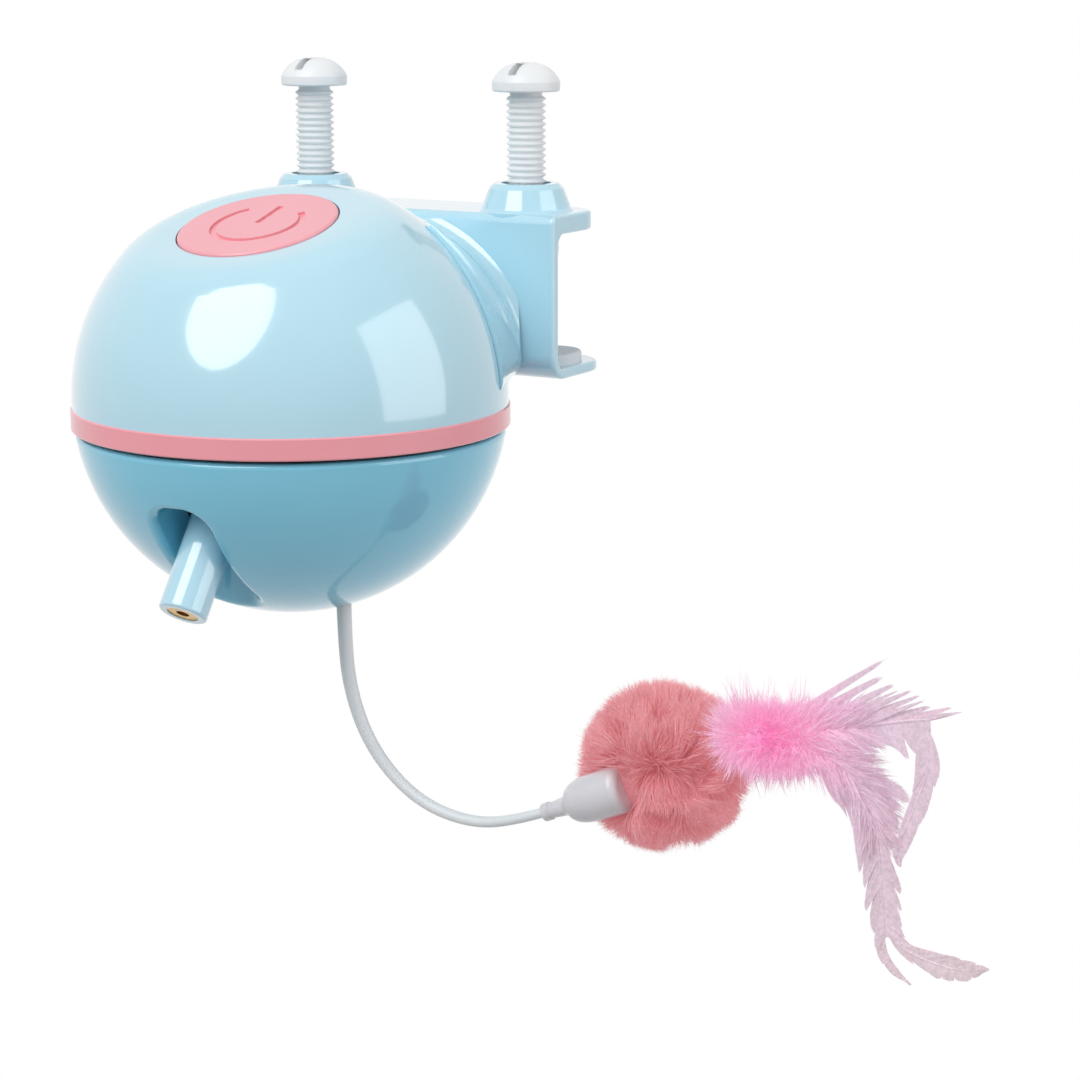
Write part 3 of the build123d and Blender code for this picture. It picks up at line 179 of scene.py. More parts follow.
def by_distance(nodes, links, centre, stops, wobble):
    """Colours by the distance from a point, from (distance in metres, colour) pairs.

    A noise moves the distance by up to wobble.
    """
    place = nodes.new("ShaderNodeTexCoord")
    gap = nodes.new("ShaderNodeVectorMath")
    gap.operation = "DISTANCE"
    gap.inputs[1].default_value = centre
    links.new(place.outputs["Object"], gap.inputs[0])
    ramp = nodes.new("ShaderNodeValToRGB")
    near, far = stops[0][0], stops[-1][0]
    scaled = nodes.new("ShaderNodeMapRange")
    scaled.inputs["From Min"].default_value = near
    scaled.inputs["From Max"].default_value = far
    shift = nodes.new("ShaderNodeMath")
    shift.operation = "MULTIPLY_ADD"
    shift.inputs[1].default_value = wobble
    links.new(noise_at(nodes, links, WOBBLE_SCALE), shift.inputs[0])
    links.new(gap.outputs["Value"], shift.inputs[2])
    links.new(shift.outputs["Value"], scaled.inputs["Value"])
    links.new(scaled.outputs["Result"], ramp.inputs["Fac"])
    while len(ramp.color_ramp.elements) < len(stops):
        ramp.color_ramp.elements.new(0.5)
    for element, (distance, colour) in zip(ramp.color_ramp.elements, stops):
        element.position = (distance - near) / (far - near)
        element.color = colour
    return ramp.outputs["Color"]


def soft_material(name, centre, stops, rough, wobble, grain, painted_glow, **sockets):
    """Hair or feather: colour by distance from a middle, and fine streaks in tone and bump.

    The emission is a painted glow in the surface's own colour, at the given strength: painted light
    that lifts the shade among the hairs and barbs, as a stand-in for the light that thin barbs let
    pass.
    """
    material, nodes, links, shader = new_material(name)
    base = by_distance(nodes, links, centre, stops, wobble)
    fine = noise_at(nodes, links, grain, FINE_DETAIL)
    tone = nodes.new("ShaderNodeMix")
    tone.data_type = "RGBA"
    tone.blend_type = "MULTIPLY"
    tone.inputs["Factor"].default_value = 1.0
    links.new(base, tone.inputs["A"])
    links.new(blend_colours(nodes, links, fine, *SOFT_STREAKS), tone.inputs["B"])
    links.new(tone.outputs["Result"], shader.inputs["Base Color"])
    links.new(tone.outputs["Result"], shader.inputs["Emission Color"])
    shader.inputs["Emission Strength"].default_value = painted_glow
    links.new(spread(nodes, links, fine, *rough), shader.inputs["Roughness"])
    add_relief(nodes, links, shader, fine, SOFT_BUMP, SOFT_RELIEF)
    fill_sockets(shader, sockets)
    materials[name] = material


surface(
    "shell_blue", srgb(180, 224, 240), srgb(184, 226, 241),
    rough=(0.12, 0.16), scale=25, grain=400, bump=0.01,
    Coat_Weight=0.9, Coat_Roughness=0.06, IOR=1.6,
)
# The shell's blue made darker and more saturated: painted shade for the ball's lower half
surface(
    "shell_painted_shade", srgb(122, 206, 233), srgb(126, 208, 234),
    rough=(0.10, 0.14), scale=25, grain=400, bump=0.01,
    Coat_Weight=0.5, Coat_Roughness=0.04,
)
surface(
    "trim_pink", srgb(246, 158, 168), srgb(248, 162, 172),
    rough=(0.16, 0.22), scale=40, grain=500, bump=0.015,
    Coat_Weight=0.15, Coat_Roughness=0.08,
)
surface(
    "button_pink", srgb(246, 168, 178), srgb(248, 171, 181),
    rough=(0.28, 0.32), scale=40, grain=1600, bump=0.008,
)
surface(
    "pad_grey", srgb(230, 235, 240), srgb(225, 230, 236),
    rough=(0.50, 0.62), scale=120, grain=2400, bump=0.12,
)
surface(
    "nylon", srgb(243, 245, 246), srgb(238, 241, 243),
    rough=(0.30, 0.42), scale=80, grain=1500, bump=0.02,
    Subsurface_Weight=0.35, Subsurface_Scale=0.002, **SCATTER,
)
surface(
    "inner_plastic", srgb(236, 236, 232), srgb(228, 229, 226),
    rough=(0.45, 0.55), scale=90, grain=1600, bump=0.05,
)
surface(
    "steel", srgb(196, 198, 200), srgb(182, 184, 188),
    rough=(0.24, 0.38), scale=200, grain=900, bump=0.05,
    stretch=(1, 1, 12), Metallic=1.0,
)
surface(
    "board_green", srgb(38, 104, 66), srgb(30, 90, 56),
    rough=(0.30, 0.42), scale=500, grain=2500, bump=0.06,
)
surface(
    "black_plastic", srgb(28, 28, 30), srgb(36, 36, 38),
    rough=(0.30, 0.42), scale=200, grain=1500, bump=0.04,
)
surface(
    "cell_blue", srgb(56, 104, 168), srgb(50, 96, 160),
    rough=(0.22, 0.32), scale=100, grain=900, bump=0.03,
)
surface(
    "bronze", srgb(206, 160, 104), srgb(190, 146, 92),
    rough=(0.28, 0.42), scale=300, grain=1400, bump=0.06,
    Metallic=1.0,
)
surface(
    "brass", srgb(216, 176, 108), srgb(198, 158, 92),
    rough=(0.22, 0.36), scale=400, grain=1600, bump=0.06,
    stretch=(1, 1, 8), Metallic=1.0,
)
surface(
    "laser_glass", srgb(190, 60, 60), srgb(170, 48, 50),
    rough=(0.05, 0.08), scale=300, grain=900, bump=0.01,
    Transmission_Weight=0.6, IOR=1.5,
)
surface(
    "wire_grey", srgb(238, 241, 242), srgb(233, 237, 239),
    rough=(0.42, 0.425), scale=150, grain=900, bump=0.001,
    Subsurface_Weight=0.1, Subsurface_Scale=0.0005, **SCATTER,
)
surface(
    "connector_milky", srgb(228, 225, 228), srgb(222, 220, 224),
    rough=(0.20, 0.24), scale=140, grain=1500, bump=0.006,
    Subsurface_Weight=0.3, Subsurface_Scale=0.001, **SCATTER,
)

# Middles of the pompom and the fluff, in millimetres from the ball's centre
FUR_AT = (75.9, 10.6, -66.1)
FLUFF_AT = (100.0, 3.5, -55.5)
# The pompom's colours by distance from its middle: the pink of the hair, made darker towards the
# roots as painted shade deep in the hair and in the furrows
FUR_COLOUR_AND_SHADE_STOPS = [
    (0.0105, srgb(192, 105, 113)),
    (0.0135, srgb(216, 140, 146)),
    (0.0165, srgb(228, 168, 173)),
]
FEATHER_STOPS = [
    (0.002, srgb(244, 154, 206)),
    (0.005, srgb(246, 178, 215)),
    (0.009, srgb(246, 196, 222)),
    (0.022, srgb(230, 205, 221)),
    (0.055, srgb(232, 212, 219)),
]
# The pompom, the fluff and the feathers glow a little in their own colours: painted light that
# lifts their shade
soft_material(
    "fur_pink", at(*FUR_AT), FUR_COLOUR_AND_SHADE_STOPS, rough=(0.7, 0.85), wobble=0.001, grain=1800,
    painted_glow=0.30, Sheen_Weight=0.2, Sheen_Roughness=0.5,
)
soft_material(
    "feather_pink", at(*FLUFF_AT), FEATHER_STOPS, rough=(0.6, 0.75), wobble=0.003, grain=1500,
    painted_glow=0.24, Sheen_Weight=0.2, Sheen_Roughness=0.5,
)
soft_material(
    "feather_lilac", at(*FLUFF_AT), FEATHER_STOPS, rough=(0.6, 0.75), wobble=0.003, grain=1500,
    painted_glow=0.21, Sheen_Weight=0.2, Sheen_Roughness=0.5,
)

# Nodes that don't look as their slot's material does: the power button in its own pink, and the
# lower shell in a darker copy of the shell's blue, which is painted shade
OWN_LOOKS = {"power_button": "button_pink", "lower_shell": "shell_painted_shade"}


def dress(obj, material):
    obj.data.materials.clear()
    obj.data.materials.append(material)


for row in frame["record"]["subparts"]:
    look = OWN_LOOKS.get(row["node"], row["material_slot"])
    if look in materials:
        dress(bpy.data.objects[row["node"]], materials[look])


# Wire: the route's points, in millimetres in the ball's plane of X and Z, and its thickness
WIRE_ROUTE = [
    (11.3, -31.0),
    (11.3, -44.5),
    (12.4, -57.5),
    (17.6, -69.0),
    (27.6, -77.6),
    (40.2, -80.3),
    (51.6, -77.5),
    (61.7, -73.1),
]
WIRE_ROOT, WIRE_TIP = 3.1, 1.8
WIRE_MEAN = 2.4
WIRE_ROUND_STEPS = 6
WIRE_ROUTE_STEPS = 16


def add_wire():
    data = bpy.data.curves.new("wire", "CURVE")
    data.dimensions = "3D"
    data.bevel_depth = WIRE_MEAN / 2 * MM
    data.bevel_resolution = WIRE_ROUND_STEPS
    data.use_fill_caps = True
    spline = data.splines.new("NURBS")
    spline.points.add(len(WIRE_ROUTE) - 1)
    for step, (point, (x, z)) in enumerate(zip(spline.points, WIRE_ROUTE)):
        share = step / (len(WIRE_ROUTE) - 1)
        point.co = (*at(x, 0, z), 1.0)
        point.radius = (WIRE_ROOT + (WIRE_TIP - WIRE_ROOT) * share) / WIRE_MEAN
    spline.order_u = 3
    spline.use_endpoint_u = True
    spline.resolution_u = WIRE_ROUTE_STEPS
    wire = bpy.data.objects.new("wire", data)
    bpy.context.scene.collection.objects.link(wire)
    dress(wire, materials["wire_grey"])
    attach(wire, "rotor")
    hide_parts("teaser_wire")


add_wire()


# Fur and feathers: thin tapered ribbons, in millimetres from the ball's centre

# The feathers' plane and the direction across it
LURE_Y = 8.0
DEPTH = (0.0, 1.0, 0.0)

# What keeps a direction off a length of nothing, for barbs and for tubes, and a place off the
# end of its line
TINY, TINY_TUBE = 1e-9, 1e-6
END_GAP = 0.001


def unit(vectors):
    return vectors / np.linalg.norm(vectors, axis=-1, keepdims=True)


def smooth(points, places):
    """Points of a smooth line that meets each of the given ones, at places counted in its spans."""
    points = np.asarray(points, float)
    slopes = np.gradient(points, axis=0)
    span = np.clip(places.astype(int), 0, len(points) - 2)
    t = (places - span)[:, None]
    start, end = points[span], points[span + 1]
    return (
        (2 * t**3 - 3 * t**2 + 1) * start
        + (t**3 - 2 * t**2 + t) * slopes[span]
        + (3 * t**2 - 2 * t**3) * end
        + (t**3 - t**2) * slopes[span + 1]
    )


def last_place(line):
    """The last place on a line for smooth."""
    return len(line) - 1 - END_GAP


def bend(start, middle, end, steps):
    """Curves from start to end that lean towards middle: (ribbon, step, xyz)."""
    t = np.linspace(0, 1, steps)[None, :, None]
    start, middle, end = start[:, None], middle[:, None], end[:, None]
    return (1 - t) ** 2 * start + 2 * t * (1 - t) * middle + t**2 * end


class Ribbons:
    """Gathers ribbons and tubes, in millimetres from the ball's centre, into one mesh."""

    def __init__(self):
        self.verts, self.faces, self.count = [], [], 0

    def add(self, paths, across, width):
        """Ribbons along paths (ribbon, step, xyz) that end in a point."""
        half = across * width[..., None] / 2
        edges = np.stack([paths - half, paths + half], axis=2)[:, :-1]
        ribbons, steps = edges.shape[:2]
        body = edges.reshape(ribbons, steps * 2, 3)
        verts = np.concatenate([body, paths[:, -1:]], axis=1)
        size = verts.shape[1]
        first = self.count + size * np.arange(ribbons)[:, None]
        for step in range(steps - 1):
            k = 2 * step
            self.faces += (first + np.array([k, k + 1, k + 3, k + 2])).tolist()
        k = 2 * (steps - 1)
        self.faces += (first + np.array([k, k + 1, k + 2])).tolist()
        self.verts.append(verts.reshape(-1, 3))
        self.count += size * ribbons

    def tube(self, line, radii, sides=6):
        """A closed tube along a line, with a radius at each of its points."""
        along = unit(np.gradient(line, axis=0))
        over = unit(np.cross(along, DEPTH) + TINY_TUBE)
        turn = np.linspace(0, 2 * np.pi, sides, endpoint=False)[None, :, None]
        ring = np.cos(turn) * over[:, None] + np.sin(turn) * np.cross(along, over)[:, None]
        verts = line[:, None] + ring * np.asarray(radii)[:, None, None]
        for step in range(len(line) - 1):
            for side in range(sides):
                low = self.count + step * sides
                high = low + sides
                after = (side + 1) % sides
                self.faces.append([low + side, low + after, high + after, high + side])
        self.faces.append([self.count + side for side in reversed(range(sides))])
        last = self.count + (len(line) - 1) * sides
        self.faces.append([last + side for side in range(sides)])
        self.verts.append(verts.reshape(-1, 3))
        self.count += verts.shape[0] * sides

    def piece(self, name, material, slot, *nodes):
        mesh = bpy.data.meshes.new(name)
        verts = np.concatenate(self.verts) * MM + np.array(BALL)
        mesh.from_pydata(verts.tolist(), [], self.faces)
        obj = bpy.data.objects.new(name, mesh)
        bpy.context.scene.collection.objects.link(obj)
        dress(obj, material)
        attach(obj, "head")
        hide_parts(*nodes)


# Pompom: hair parted along two furrows, the upper one from the connector's mouth. Their points are
# places across and up on the disc that the camera sees
FUR_CORE = 10.6
FUR_TIP = 16.4
FUR_HAIRS = 34000
FUR_CLUMPS = 3200
FUR_LOCKS = 240
FUR_SEED = 7
FURROW = ((-0.46, -0.10), (-0.20, 0.06), (0.08, -0.06), (0.42, 0.06))
LOW_FURROW = ((-0.22, -0.60), (0.06, -0.66), (0.34, -0.52))
FURROW_STEPS, LOW_FURROW_STEPS = 22, 12

# On a pompom of radius 1: unevenness of the roots, and how near and softly the furrows part it
ROOT_SCATTER = 0.012
PART_REACH, PART_FAR, PART_SOFT = 0.30, 1e-5, 0.12

# How much a lock and a hair stray, and how much hair leans from the furrows, most of it above
LOCK_STRAY, HAIR_STRAY = 0.27, 0.12
LEAN_ALL, LEAN_PARTED, LEAN_REACH = 0.14, 0.34, 0.8
LEAN_MIDDLE, LEAN_SLOPE, LEAN_LEAST, LEAN_MOST = 0.6, 2, 0.3, 1.2

# The outline: lower at the furrows, with soft lumps
DIP, DIP_REACH = 0.10, 0.14
LUMP = 0.03
LUMP_ACROSS, LUMP_UP = (4.3, 1.0), (3.9, 0.4)
REACH_SPREAD = 0.03

# A hair: pull of its clump's leader, its bow out and to the tip, and its widths
CLUMP_PULL = 0.34
BOW_OUT, BOW_TIP = 0.42, 0.12
HAIR_WIDTHS = (0.15, 0.26)
HAIR_TAPER = (1.0, 0.9, 0.6, 0.0)

# The skin under the hair. It takes the fur's colours by distance, so its dark root tone is painted
# shade
SKIN_RISE, SKIN_DIP, SKIN_DIP_REACH = 1.2, 0.9, 0.18
SKIN_DIVISIONS = 5

# The connector's bell, which stays free of hair
BELL_END = (73.2, 0.0, -67.8)
BELL_LEN = 18.8
BELL_CLEAR = 5.1
BELL_BEHIND, BELL_PAST = 2, 0.5


def furrow_points(line, count):
    """Directions along a furrow, from places across and up on the pompom's disc."""
    across, up = smooth(line, np.linspace(0, last_place(line), count)).T
    depth = np.sqrt(1 - across**2 - up**2)
    right = np.array(CAMERA_RIGHT)
    return across[:, None] * right + up[:, None] * CAMERA_UP - depth[:, None] * CAMERA_LOOK


def over_bell(points):
    """Whether points lie in front of the connector's bell."""
    toward = -np.array(CAMERA_LOOK)
    bell = np.array(PULL["axis"]) - np.dot(PULL["axis"], toward) * toward
    bell /= np.linalg.norm(bell)
    gap = points - np.array(BELL_END)
    front = gap @ toward
    along = gap @ bell
    beside = np.linalg.norm(gap - front[:, None] * toward - along[:, None] * bell, axis=1)
    ahead = (front > -BELL_BEHIND) & (along < BELL_PAST) & (along > -BELL_LEN)
    return ahead & (beside < BELL_CLEAR)


def even_directions(count):
    """Directions spread evenly on a ball, along a spiral."""
    step = np.arange(count) + 0.5
    polar = np.arccos(1 - 2 * step / count)
    angle = np.pi * (1 + 5**0.5) * step
    return np.stack(
        [np.cos(angle) * np.sin(polar), np.sin(angle) * np.sin(polar), np.cos(polar)], axis=1
    )


def nearest_of(out, chosen):
    """For each direction the number of the nearest chosen one."""
    return (out.astype(np.float32) @ out[chosen].T.astype(np.float32)).argmax(axis=1)


def hair_paths(parted, rng):
    """Roots, middles and tips of the hairs, and their aims."""
    out = even_directions(FUR_HAIRS)
    out = unit(out + rng.normal(0, ROOT_SCATTER, out.shape))
    gap = out[:, None] - parted[None]
    distance = np.linalg.norm(gap, axis=2)
    weight = np.exp(-((distance / PART_REACH) ** 2)) + PART_FAR
    away = (gap * weight[..., None] / (distance[..., None] + PART_SOFT)).sum(axis=1)
    away = unit(away - (away * out).sum(axis=1, keepdims=True) * out)
    nearest = distance.min(axis=1, keepdims=True)
    lock = rng.choice(FUR_HAIRS, FUR_LOCKS, replace=False)
    of_lock = nearest_of(out, lock)
    stray = rng.normal(0, LOCK_STRAY, (FUR_LOCKS, 3))[of_lock]
    stray = stray + rng.normal(0, HAIR_STRAY, out.shape)
    up = out @ np.array(CAMERA_UP)
    above = np.clip(LEAN_MIDDLE + LEAN_SLOPE * up, LEAN_LEAST, LEAN_MOST)[:, None]
    lean = LEAN_ALL + LEAN_PARTED * above * np.exp(-((nearest / LEAN_REACH) ** 2))
    aim = unit(out * (1 - lean) + away * lean + stray)

    rise = 1 - DIP * np.exp(-((nearest[:, 0] / DIP_REACH) ** 2))
    (wave_x, shift_x), (wave_z, shift_z) = LUMP_ACROSS, LUMP_UP
    rise += LUMP * np.sin(wave_x * out[:, 0] + shift_x) * np.sin(wave_z * out[:, 2] + shift_z)
    reach = FUR_TIP * rise * rng.normal(1, REACH_SPREAD, FUR_HAIRS)
    across_core = FUR_CORE * (out * aim).sum(axis=1)
    length = -across_core + np.sqrt(across_core**2 - FUR_CORE**2 + reach**2)
    root = np.array(FUR_AT) + out * FUR_CORE
    tip = root + aim * length[:, None]
    clump = rng.choice(FUR_HAIRS, FUR_CLUMPS, replace=False)
    leader = clump[nearest_of(out, clump)]
    tip += CLUMP_PULL * (tip[leader] - tip)
    middle = root + out * length[:, None] * BOW_OUT + (tip - root) * BOW_TIP
    return root, middle, tip, aim


def add_skin(parted):
    skin = bpy.data.meshes.new("skin")
    shape = bmesh.new()
    bmesh.ops.create_icosphere(shape, subdivisions=SKIN_DIVISIONS, radius=1.0)
    for vert in shape.verts:
        here = np.array(vert.co)
        near = np.linalg.norm(here - parted, axis=1).min()
        dip = SKIN_DIP * np.exp(-((near / SKIN_DIP_REACH) ** 2))
        vert.co = Vector(here * (FUR_CORE + SKIN_RISE - dip))
    bmesh.ops.translate(shape, verts=shape.verts, vec=Vector(FUR_AT))
    bmesh.ops.scale(shape, verts=shape.verts, vec=(MM, MM, MM))
    bmesh.ops.translate(shape, verts=shape.verts, vec=BALL)
    shape.to_mesh(skin)
    shape.free()
    under = bpy.data.objects.new("pompom_core", skin)
    bpy.context.scene.collection.objects.link(under)
    dress(under, materials["fur_pink"])
    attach(under, "head")
    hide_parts("fur_ball")


def add_pompom():
    rng = np.random.default_rng(FUR_SEED)
    parted = np.concatenate(
        [furrow_points(FURROW, FURROW_STEPS), furrow_points(LOW_FURROW, LOW_FURROW_STEPS)]
    )
    root, middle, tip, aim = hair_paths(parted, rng)
    paths = bend(root, middle, tip, len(HAIR_TAPER))
    across = unit(np.cross(aim, rng.normal(size=aim.shape)))[:, None]
    width = rng.uniform(*HAIR_WIDTHS, (FUR_HAIRS, 1)) * np.array([HAIR_TAPER])
    clear = ~(over_bell(tip) | over_bell(middle))
    fur = Ribbons()
    fur.add(paths[clear], across[clear], width[clear])
    fur.piece("pompom", materials["fur_pink"], "fur_pink", "fur_ball")
    add_skin(parted)


# A feather's barb, as shares of its length: how a group's tips are rounded and how uneven they
# are, and the bow of a barb
GROUP_FROM, GROUP_TO = -1.15, 0.85
GROUP_ROUND, GROUP_POWER = 0.09, 1.6
GROUP_UNEVEN, GROUP_UNEVEN_BY_PULL = 0.02, 0.06
BARB_UNEVEN = 0.025
BARB_BOW = 0.12

# How far a barb leaves the feathers' plane, in millimetres, how much its face turns out of it, and
# the spread and the taper of the widths
BARB_OFF_PLANE = 0.12
BARB_TILT = 0.10
BARB_WIDTHS = (0.8, 1.2)
BARB_TAPER = (0.9, 1.0, 1.0, 0.9, 0.6, 0.0)
QUILL_STEPS = 8

# Downy barbs: how unevenly their faces turn, how far along the shaft they grow, how they aim, and
# their length and scatter in millimetres
TUFT_SPREAD = 0.35
TUFT_TAPER = (1.0, 1.0, 0.8, 0.5, 0.0)
DOWN_END = 1.1
DOWN_AHEAD = 0.08
DOWN_SIDEWAYS = (0.25, 0.85)
DOWN_OFF_PLANE = 0.25
DOWN_LENGTH, DOWN_UNEVEN, DOWN_SHORTER = 9.0, 2.0, 0.35
DOWN_SCATTER = 0.3
DOWN_PER_LEADER = 9


def plane_points(pairs):
    return np.array([(x, LURE_Y, z) for x, z in pairs], float)


def vane(mesh, shaft, tips, rng, barbs, width, group, pull, sweep, loose):
    """Barbs swept along a shaft to a line of tips, closed but for a split between groups.

    A group has a number of barbs between the two given, whose tips are pulled together.
    """
    shaft, tips = plane_points(shaft), plane_points(tips)
    last = last_place(shaft)
    places = np.linspace(0, last, barbs)
    root = smooth(shaft, places)
    tip = smooth(tips, np.minimum(places + sweep * (1 - places / last), last))
    forward = unit(np.gradient(root, axis=0) + TINY)
    start = 0
    while start < barbs:
        end = min(barbs, start + rng.integers(*group))
        part = slice(start, end)
        side = np.linspace(GROUP_FROM, GROUP_TO, end - start)[:, None]
        uneven = rng.normal(0, GROUP_UNEVEN + GROUP_UNEVEN_BY_PULL * pull)
        short = 1 - GROUP_ROUND * np.abs(side) ** GROUP_POWER + uneven
        tip[part] = root[part] + (tip[part] - root[part]) * short
        tip[part] += pull * (tip[part].mean(axis=0) - tip[part])
        tip[part, 1] += rng.normal(0, loose)
        start = end
    length = np.linalg.norm(tip - root, axis=1, keepdims=True)
    tip += (tip - root) * rng.normal(0, BARB_UNEVEN, (barbs, 1))
    middle = (root + tip) / 2 - forward * length * BARB_BOW
    middle[:, 1] += rng.normal(0, BARB_OFF_PLANE, barbs)
    paths = bend(root, middle, tip, len(BARB_TAPER))
    along = np.gradient(paths, axis=1)
    across = unit(np.cross(along, DEPTH) + TINY)
    across[..., 1] += rng.normal(0, BARB_TILT, (barbs, 1))
    widths = width * rng.uniform(*BARB_WIDTHS, (barbs, 1)) * np.array([BARB_TAPER])
    mesh.add(paths, unit(across), widths)


def quill(mesh, shaft, root_r, tip_r):
    places = np.linspace(0, last_place(shaft), QUILL_STEPS * len(shaft))
    line = smooth(plane_points(shaft), places)
    mesh.tube(line, np.linspace(root_r, tip_r, len(line)))


# Feathers: stations along each shaft, with the tips of the barbs that leave it on either side
LONG_SHAFT = [
    (107.2, -57.3), (110.7, -58.9), (114.1, -60.8), (116.7, -63.3), (118.7, -66.7), (120.1, -71.0),
    (120.8, -75.0), (121.3, -79.0), (121.7, -83.1), (122.0, -87.2), (122.4, -90.8),
]
LONG_RIGHT = [
    (114.8, -52.6), (119.8, -56.8), (124.9, -59.9), (125.6, -64.2), (125.1, -67.0), (123.8, -72.9),
    (123.4, -77.0), (125.0, -80.5), (125.3, -85.0), (125.9, -89.4), (127.0, -91.9),
]
LONG_LEFT = [
    (108.3, -61.3), (109.1, -66.9), (111.1, -68.3), (113.7, -68.5), (115.9, -72.9), (116.8, -76.9),
    (117.6, -79.6), (118.3, -82.8), (118.6, -86.9), (119.8, -91.1), (121.2, -94.4),
]
TAIL_SHAFT = [(121.4, -90.2), (121.8, -92.6), (122.5, -95.0), (124.2, -97.2), (127.6, -99.3)]
TAIL_RIGHT = [(122.6, -91.2), (122.8, -93.3), (123.7, -95.2), (125.5, -97.2), (127.6, -99.3)]
TAIL_LEFT = [(120.3, -91.2), (120.9, -94.0), (121.8, -96.0), (124.0, -98.1), (127.6, -99.3)]
LEAF_SHAFT = [
    (122.9, -89.9), (125.5, -92.4), (129.8, -93.9), (134.9, -94.8), (138.6, -94.6), (142.0, -93.8),
]
LEAF_TOP = [
    (125.9, -89.4), (127.9, -92.2), (133.1, -92.3), (137.7, -92.7), (141.0, -93.1), (142.6, -93.6),
]
LEAF_UNDER = [
    (122.8, -92.0), (126.0, -94.2), (129.4, -95.8), (133.3, -97.4), (138.7, -96.6), (141.9, -94.2),
]
UPPER_SHAFT = [
    (97.6, -57.0), (104.1, -54.9), (110.5, -53.4), (115.6, -52.5), (121.1, -51.2), (125.7, -50.1),
    (129.8, -49.3),
]
UPPER_TOP = [
    (103.6, -46.6), (118.2, -39.9), (122.2, -42.9), (126.0, -44.3), (129.4, -46.2), (132.6, -47.2),
    (135.6, -47.5),
]
UPPER_UNDER = [
    (104.2, -59.8), (111.5, -57.9), (117.5, -57.5), (121.2, -55.7), (123.3, -55.5), (126.9, -57.0),
    (130.5, -53.0),
]
CURL_SHAFT = [
    (128.8, -50.3), (129.7, -54.1), (130.0, -58.1), (128.5, -63.2), (126.6, -68.4), (124.6, -74.0),
    (124.9, -76.8),
]
CURL_OUTER = [
    (131.0, -52.5), (132.2, -57.0), (131.4, -61.5), (129.6, -67.0), (127.3, -72.0), (125.4, -76.0),
    (124.9, -77.6),
]
CURL_INNER = [
    (127.6, -53.0), (127.4, -57.5), (127.2, -62.0), (125.6, -67.5), (124.3, -72.0), (123.6, -75.5),
    (124.4, -77.4),
]


def tuft(mesh, rng, root, aim, length, leaders, pull, bow, widths, facing):
    """Fine barbs whose tips lean together in small points, with their edges to one side."""
    tip = root + aim * length[:, None]
    lead = rng.choice(len(root), leaders, replace=False)
    apart = np.linalg.norm(tip[:, None] - tip[lead][None], axis=2)
    tip += pull * (tip[lead[apart.argmin(axis=1)]] - tip)
    middle = root + (tip - root) * 0.5 + unit(rng.normal(size=aim.shape)) * bow
    across = unit(np.cross(aim, rng.normal(facing, TUFT_SPREAD, aim.shape)))[:, None]
    width = rng.uniform(*widths, (len(root), 1)) * np.array([TUFT_TAPER])
    mesh.add(bend(root, middle, tip, len(TUFT_TAPER)), across, width)


def down(mesh, shaft, rng, count):
    """Downy barbs along a shaft, swept forward on both sides."""
    line = plane_points(shaft)
    places = rng.uniform(0, len(line) - DOWN_END, count)
    root = smooth(line, places)
    forward = unit(smooth(line, places + DOWN_AHEAD) - root)
    side = np.cross(forward, DEPTH) * rng.choice((-1, 1), (count, 1))
    aim = forward + side * rng.uniform(*DOWN_SIDEWAYS, (count, 1))
    aim[:, 1] += rng.normal(0, DOWN_OFF_PLANE, count)
    length = rng.normal(DOWN_LENGTH, DOWN_UNEVEN, count) * (1 - DOWN_SHORTER * places / len(line))
    root = root + rng.normal(0, DOWN_SCATTER, root.shape)
    tuft(
        mesh, rng, root, unit(aim), length, leaders=count // DOWN_PER_LEADER,
        pull=0.5, bow=0.8, widths=(0.16, 0.34), facing=DEPTH,
    )


FEATHER_SEED = 23


